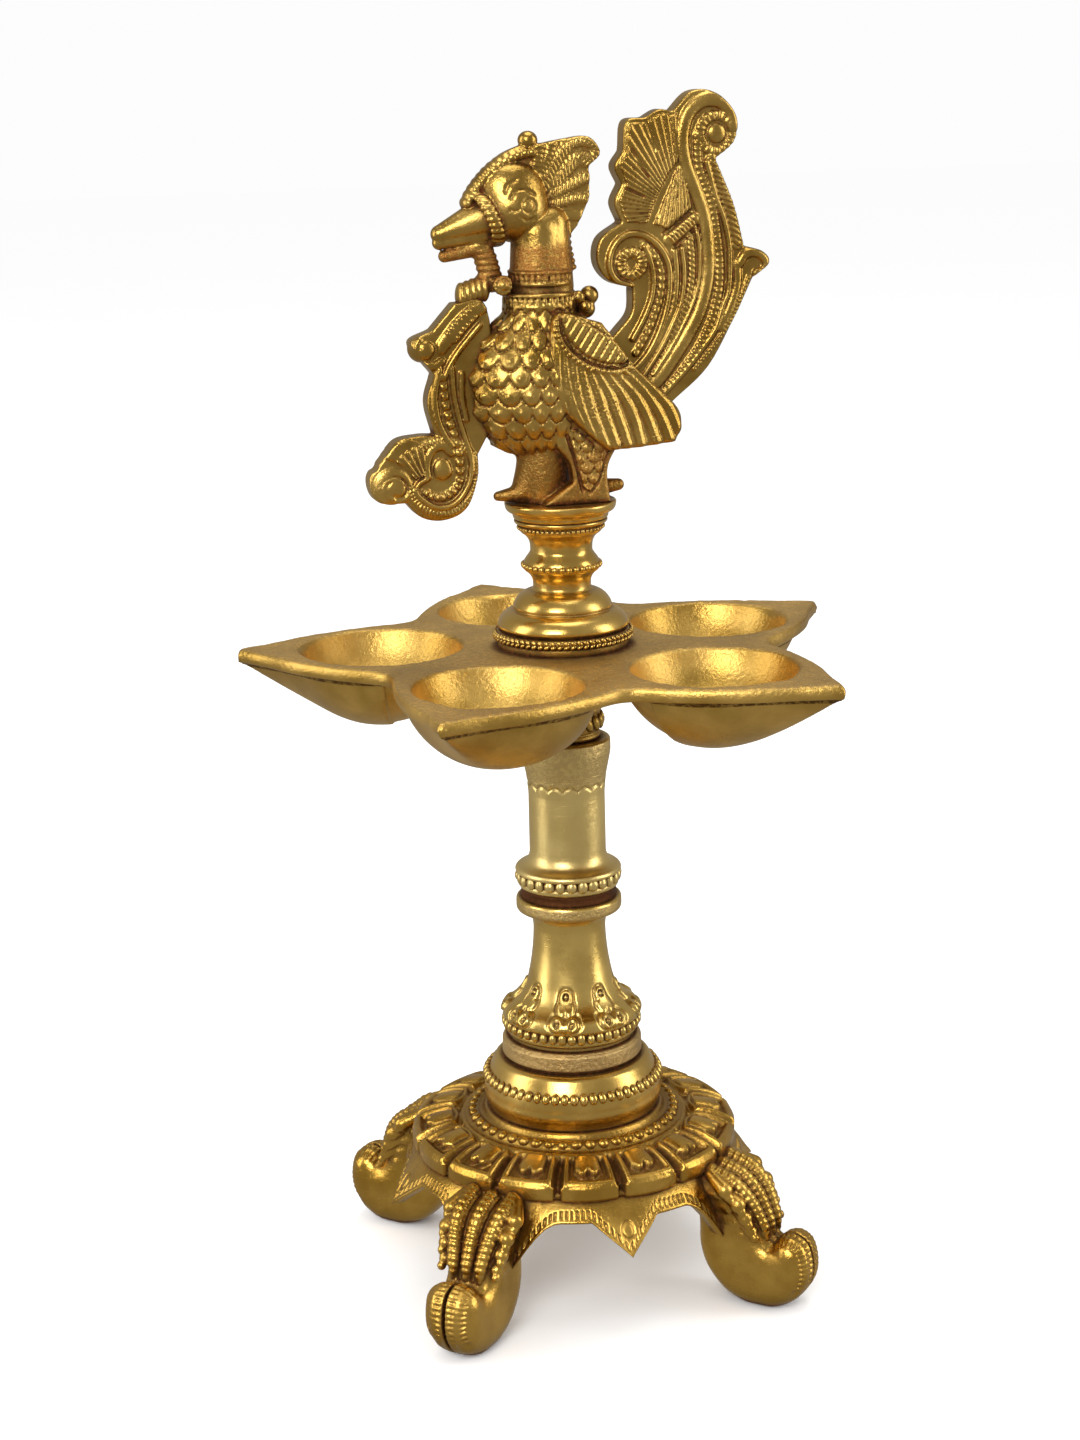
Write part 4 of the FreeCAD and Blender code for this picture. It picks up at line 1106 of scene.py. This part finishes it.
def bird_wings(clay):
    """A fan of ribbed feathers on each side under a hatched shoulder pad with a beaded border."""
    relief = Relief(clay, above_disc(WING), 10.6)
    bulge = 1.0 - ((relief.x - 8) / 26) ** 2 - ((relief.z - 232) / 30) ** 2
    relief.rise += 0.9 * np.clip(bulge, 0, 1)
    feathers = [
        [(-2.8, 243), (-3.2, 236), (-2.8, 229), (0.2, 222), (4.2, 218.4)],
        [(-1.5, 240.4), (-0.9, 233.7), (1.2, 226.5), (4.6, 220)],
        [(0.6, 238.6), (1.6, 232), (3.2, 225.6), (6.2, 218.6)],
        [(2.6, 237.2), (4.2, 230.4), (5.9, 224.2), (8.6, 218)],
        [(4.6, 236.2), (7, 230.2), (8.8, 224), (11.2, 217.6)],
        [(6.6, 235.6), (9.8, 230), (12, 223.8), (14.2, 217.6)],
        [(9.2, 235), (12.9, 229.9), (15.8, 224.1), (17.6, 217.6)],
        [(11.4, 235), (15.9, 229.9), (19, 224.6), (21.6, 217.8)],
        [(13.6, 235.4), (18.2, 230.8), (22.2, 225), (25.2, 218)],
        [(15.6, 236.2), (20.2, 231.4), (24.6, 226.4), (27.2, 220.6)]]
    drawn = Relief(clay, above_disc(WING), 0)
    for points in feathers:
        drawn.ridge(points, 1.35, 0.75, 0.75, 0.8, 0.3)
        drawn.ridge(points, 0.35, 0.95)
    pad = drawn.inside([
        (-2.6, 250.4), (-2, 245.6), (0.8, 241), (4.5, 238.3), (8.8, 236.9), (12, 236.6), (14.6, 238.6),
        (14.4, 241.7), (11, 245.8), (7.8, 248.8), (4.1, 250.6)])
    along = 0.83 * drawn.x - 0.56 * drawn.z
    over = 0.56 * drawn.x + 0.83 * drawn.z
    hatch = np.maximum(bump(along % 1.9, 0.95, 0.2), bump(over % 1.5, 0.75, 0.2) * (over > 206.4))
    drawn.rise = np.where(pad, 1.15 - 0.55 * hatch, drawn.rise)
    drawn.groove([
        (-2.4, 249.8), (-1.6, 245.4), (1.4, 241.3), (5, 238.7), (9, 237.4), (12.6, 237.2)], 0.4, 0.7)
    drawn.ridge([
        (-3.6, 249.4), (-2.9, 244.4), (-0.2, 240.2), (3.8, 237.2), (8, 235.8), (11.4, 235.4), (14.2, 236),
        (15.8, 238.4)], 0.95, 1.3, 1.35)
    relief.rise += drawn.rise
    relief.press(1.2, inner=5.5)
    for place, radius in (((8.4, 0, 252.9), 2.3), ((4.6, -3.6, 252.9), 1.6), ((6.4, -3.2, 250.6), 1.5),
                          ((4.6, 3.6, 252.9), 1.6), ((6.4, 3.2, 250.6), 1.5), ((7.4, 0, 249.8), 2.4)):
        clay.ball(place, radius, 0.3)


def bird_legs(clay):
    """Two flat legs with a scaled panel, and the post between them with one toe ahead and one behind."""
    leg = runs_outline([
        [(-4.4, 224)], [(-2.9, 217.4)], [(0.2, 213.5), (1.1, 209)], [(-5.6, 204.4)], [(-6.2, STAND)],
        [(10.6, STAND)], [(9.8, 209), (10.2, 213), (12.8, 217.6)], [(12, 224)]])
    relief = Relief(clay, leg, 8.9)
    panel = relief.inside([
        (-0.6, 222), (1.7, 214), (3.4, 207.4), (5, 206.4), (7, 209), (9.4, 216), (9.8, 222)])
    marks = 0.9 * scales(relief.x - 4.4, 230 - relief.z, 3.3, 2.6)
    relief.rise = np.where(panel, 0.2 + marks, relief.rise)
    relief.groove([(-1, 222), (1.5, 214), (3.2, 206.6)], 0.4, 0.7)
    relief.groove([(10, 217), (7.2, 208.8), (5, 206)], 0.35, 0.5)
    relief.press(1.2, inner=4.4)
    clay.rod((-4, 0, STAND), (-4, 0, 216), 5.2, 6.4)
    clay.rod((-7, 0, 214), (-9.6, 0, 206.4), 3.4, 2.8, 1.5)
    clay.rod((-9.6, 0, 205.6), (-15.8, 0, 205.3), 2.4, 1.2, 0.8)
    clay.rod((9, 0, 205.8), (15, 0, 206.2), 2.3, 1.5, 0.6)
    clay.cut(lambda x, y, z: z - STAND - 0.02 + 0 * x + 0 * y, high=(40, 20, 206))
    clay.cut(lambda x, y, z: np.maximum(np.hypot(x, y) - 3.1, z - 214.3), (-5, -5, 200), (5, 5, 216))


def peacock_body():
    clay = Clay((-32, -13.4, 202), (30, 13.4, 294), 0.34)
    for shape in (bird_body, bird_head, bird_crest, bird_garland, bird_wings, bird_legs):
        shape(clay)
    finish_clay(clay, "peacock_body", BODY)


# ---- the pieces, from the floor up --------------------------------------------------------------------

leg_frame()
turned("lotus_dish", "base", CAST, "cast_brass", [
    (35.6, 0), (41.2, 0), (41.75, 0.5), (41.8, 3.9, 0.12), (40.2, 5.1, 0.14), (29.3, 7.4), (28.3, 7.0),
    (27.6, 7.1), (26.6, 8.4, 0.3), (25.0, 8.7), (24.4, 8.2), (23.6, 8.6), (22.9, 9.9), (BORE, 9.9),
    (BORE, 5.9), (27, 4.4)], [(26.3, 8.25, 48, (1.5, 1.15, 1.25), 0, 48)],
    around=PETALS * 44, step=0.32, relief=petal_relief)
turned("base_dome", "base", TURNED, "turned_brass", [
    (18, 0), (22.0, 0), (22.2, 1.2, 0.2), (22.9, 5.0, 0.06), (22.7, 8.6), (21.9, 9.4), (20.1, 13.0),
    (19.2, 13.7), (BORE, 13.7), (BORE, 9.7), (15, 9.7, -0.3)], [(22.25, 8.9, 58, (1.14, 1.05, 1.5), 0, 28)],
    around=192, soften=1)
turned("spacer_ring", "spacer", ROUGH, "rough_brass", [
    (BORE, 0), (17.4, 0), (17.5, 0.7), (18.1, 0.9), (18.0, 4.7), (17.4, 5.0), (17.3, 5.5), (BORE, 5.5)],
    around=160, soften=1)
turned("lower_column", "lower", BELL, "turned_brass", [
    (STUD, 0), (16.3, 0), (16.3, 1.4), (17.0, 1.4, 0.2), (17.1, 2.6), (16.9, 2.9), (16.9, 4.6), (17.3, 4.9),
    (17.9, 5.5, 0.35), (15.7, 9.0, -0.16), (11.25, 14.4, -0.06), (9.25, 29.4), (9.5, 31.4, -0.35),
    (12.9, 33.7), (13.5, 34.3), (13.5, 36.9), (13.2, 37.4), (NECK_TAP, 37.4), (NECK_TAP, 23.9), (0, 23.9),
    (0, 14.5), (STUD, 14.5)], [(17.0, 3.85, 44, (1.18, 1.15, 1.5), 0, 0)], around=360, relief=bell_relief)
turned("column_shim", "shim", SEAM, "rough_brass", [
    (BORE, 0), (12.3, 0), (12.1, 1.3), (12.3, 2.7), (BORE, 2.7)], around=128, soften=1)
turned("upper_column", "upper", SHAFT, "turned_brass", [
    (STUD, 0), (12.4, 0), (12.9, 0.5), (12.9, 1.6), (12.4, 1.9), (12.4, 3.6), (13.3, 3.8, 0.4), (13.5, 5.0),
    (12.9, 5.5, -0.35), (9.75, 8.9), (9.7, 24.6), (9.75, 25.2), (10.15, 29.3), (11.2, 34.6), (11.35, 35.4),
    (11.35, 38.5), (11.0, 38.9), (STUD, 38.9), (STUD, 24.4), (0, 24.4), (0, 14.5), (STUD, 14.5)],
    [(12.6, 2.75, 28, (1.42, 1.1, 1.7), 0, 0)], around=288, relief=cap_relief)
lamp_plate()
BRAID = (0.88, 0.66, 0.52)
turned("beaded_ring", "ring", TURNED, "turned_brass", [
    (BORE, 0), (16.3, 0), (16.9, 0.4, 0.3), (16.9, 1.8), (16.3, 2.2), (BORE, 2.2)],
    [(17.0, 0.62, 66, BRAID, 0.5, 0), (17.0, 1.58, 66, BRAID, -0.5, 0)], around=128)
turned("neck_spindle", "neck", TURNED, "turned_brass", [
    (NECK_TAP, 0), (15.6, 0), (15.9, 0.6), (16.4, 0.9), (16.35, 1.6, 0.28), (12.7, 5.0), (12.0, 5.1),
    (12.3, 5.4), (12.3, 6.2, 0.3), (7.6, 9.9), (7.2, 10.6), (7.25, 12.2, -0.15), (8.3, 14.1), (9.3, 14.9),
    (9.5, 15.4), (9.5, 16.8), (9.1, 17.6), (8.2, 18.8), (7.7, 19.6), (7.75, 21.0, -0.28), (9.9, 24.3),
    (10.3, 24.9), (10.5, 26.2), (11.2, 26.6), (11.6, 27.0), (11.6, 27.5), (11.3, 27.7), (FINE_TAP, 27.7),
    (FINE_TAP, 15.2), (0, 15.2), (0, 12), (NECK_TAP, 12)],
    [(9.45, 16.1, 34, (0.82, 0.78, 0.78), 0, 0), (10.45, 25.6, 52, (0.52, 0.5, 0.52), 0, 0)],
    around=192, step=0.3, soften=1)
turned("finial_disc", "disc", TURNED, "turned_brass", [
    (FINE_BORE, 0), (11.4, 0), (11.8, 0.4), (11.9, 1.3), (12.3, 1.7, 0.4), (13.75, 3.5), (13.9, 3.9),
    (13.7, 4.3), (FINE_BORE, 4.3)], around=160, step=0.25)
peacock_tail()
breast_scroll()
peacock_body()
for node in ("base_stud", "base_washer", "base_nut", "column_stud", "neck_stud", "finial_stud"):
    hidden = frame["nodes"][node].data
    hidden.materials.clear()
    hidden.materials.append(STEEL)


# ---- floor, light and camera --------------------------------------------------------------------------

LAMP_MIDDLE = Vector((0, 0, 0.15))
FLOOR_REACH = 6.0
SURROUND_SEEN = 0.98
SURROUND_MIRRORED = 0.34
CAMERA_PLACE = (-0.1753, -0.5992, 0.3082)
CAMERA_TURN = -15.73
CAMERA_PITCH = 75.56
CAMERA_ROLL = -1.38


def add_stage():
    """A wide pale floor, which the brass doesn't mirror."""
    mesh = bpy.data.meshes.new("floor")
    corners = [(x * FLOOR_REACH, y * FLOOR_REACH, 0) for x, y in ((-1, -1), (1, -1), (1, 1), (-1, 1))]
    mesh.from_pydata(corners, [], [(0, 1, 2, 3)])
    floor = bpy.data.objects.new("floor", mesh)
    bpy.context.scene.collection.objects.link(floor)
    made = Nodes("pale_floor")
    grain = made.noise(made.add("TexCoord").outputs["Object"], 30.0)
    tone = made.mix(grain, (0.985, 0.985, 0.985, 1), (0.995, 0.995, 0.995, 1))
    made.set(made.shader.inputs["Base Color"], tone)
    made.set(made.shader.inputs["Roughness"], 0.8)
    made.set(made.shader.inputs["Specular IOR Level"], 0.0)
    mesh.materials.append(made.material)
    floor.visible_glossy = False


def add_light(name, place, width, height, watts):
    """A soft box that faces the middle of the lamp."""
    data = bpy.data.lights.new(name, "AREA")
    data.shape = "RECTANGLE"
    data.size = width
    data.size_y = height
    data.energy = watts
    light = bpy.data.objects.new(name, data)
    bpy.context.scene.collection.objects.link(light)
    light.location = place
    light.rotation_mode = "QUATERNION"
    light.rotation_quaternion = (LAMP_MIDDLE - Vector(place)).to_track_quat("-Z", "Y")


def add_lights():
    """A key beside the camera, a fill each side, one overhead, and a surround dimmer in reflections."""
    add_light("key", (-0.62, -0.95, 0.75), 0.55, 0.55, 9)
    add_light("left_fill", (-1.25, 0.1, 0.5), 0.5, 1.2, 6)
    add_light("right_fill", (1.05, -0.45, 0.45), 0.4, 1.0, 5)
    add_light("overhead", (0.1, 0.1, 1.2), 0.7, 0.7, 5)
    world = bpy.data.worlds.new("surround")
    bpy.context.scene.world = world
    world.use_nodes = True
    tree = world.node_tree
    pale = tree.nodes.new("ShaderNodeBackground")
    pale.inputs["Color"].default_value = (1, 1, 1, 1)
    pale.inputs["Strength"].default_value = SURROUND_SEEN
    dim = tree.nodes["Background"]
    dim.inputs["Color"].default_value = (1.0, 0.95, 0.86, 1)
    dim.inputs["Strength"].default_value = SURROUND_MIRRORED
    path = tree.nodes.new("ShaderNodeLightPath")
    choose = tree.nodes.new("ShaderNodeMixShader")
    tree.links.new(path.outputs["Is Glossy Ray"], choose.inputs[0])
    tree.links.new(pale.outputs[0], choose.inputs[1])
    tree.links.new(dim.outputs[0], choose.inputs[2])
    tree.links.new(choose.outputs[0], tree.nodes["World Output"].inputs["Surface"])


def add_camera():
    """Low three-quarter view from the bird's side, 14 degrees down, with a slight roll."""
    data = bpy.data.cameras.new("camera")
    data.lens = 64.0
    data.sensor_width = 36.0
    camera = bpy.data.objects.new("camera", data)
    bpy.context.scene.collection.objects.link(camera)
    turn = Matrix.Rotation(math.radians(CAMERA_TURN), 4, "Z")
    pitch = Matrix.Rotation(math.radians(CAMERA_PITCH), 4, "X")
    roll = Matrix.Rotation(math.radians(CAMERA_ROLL), 4, "Z")
    camera.matrix_world = Matrix.Translation(CAMERA_PLACE) @ turn @ pitch @ roll
    bpy.context.scene.camera = camera


bpy.context.scene.view_settings.view_transform = "Standard"
add_stage()
add_lights()
add_camera()
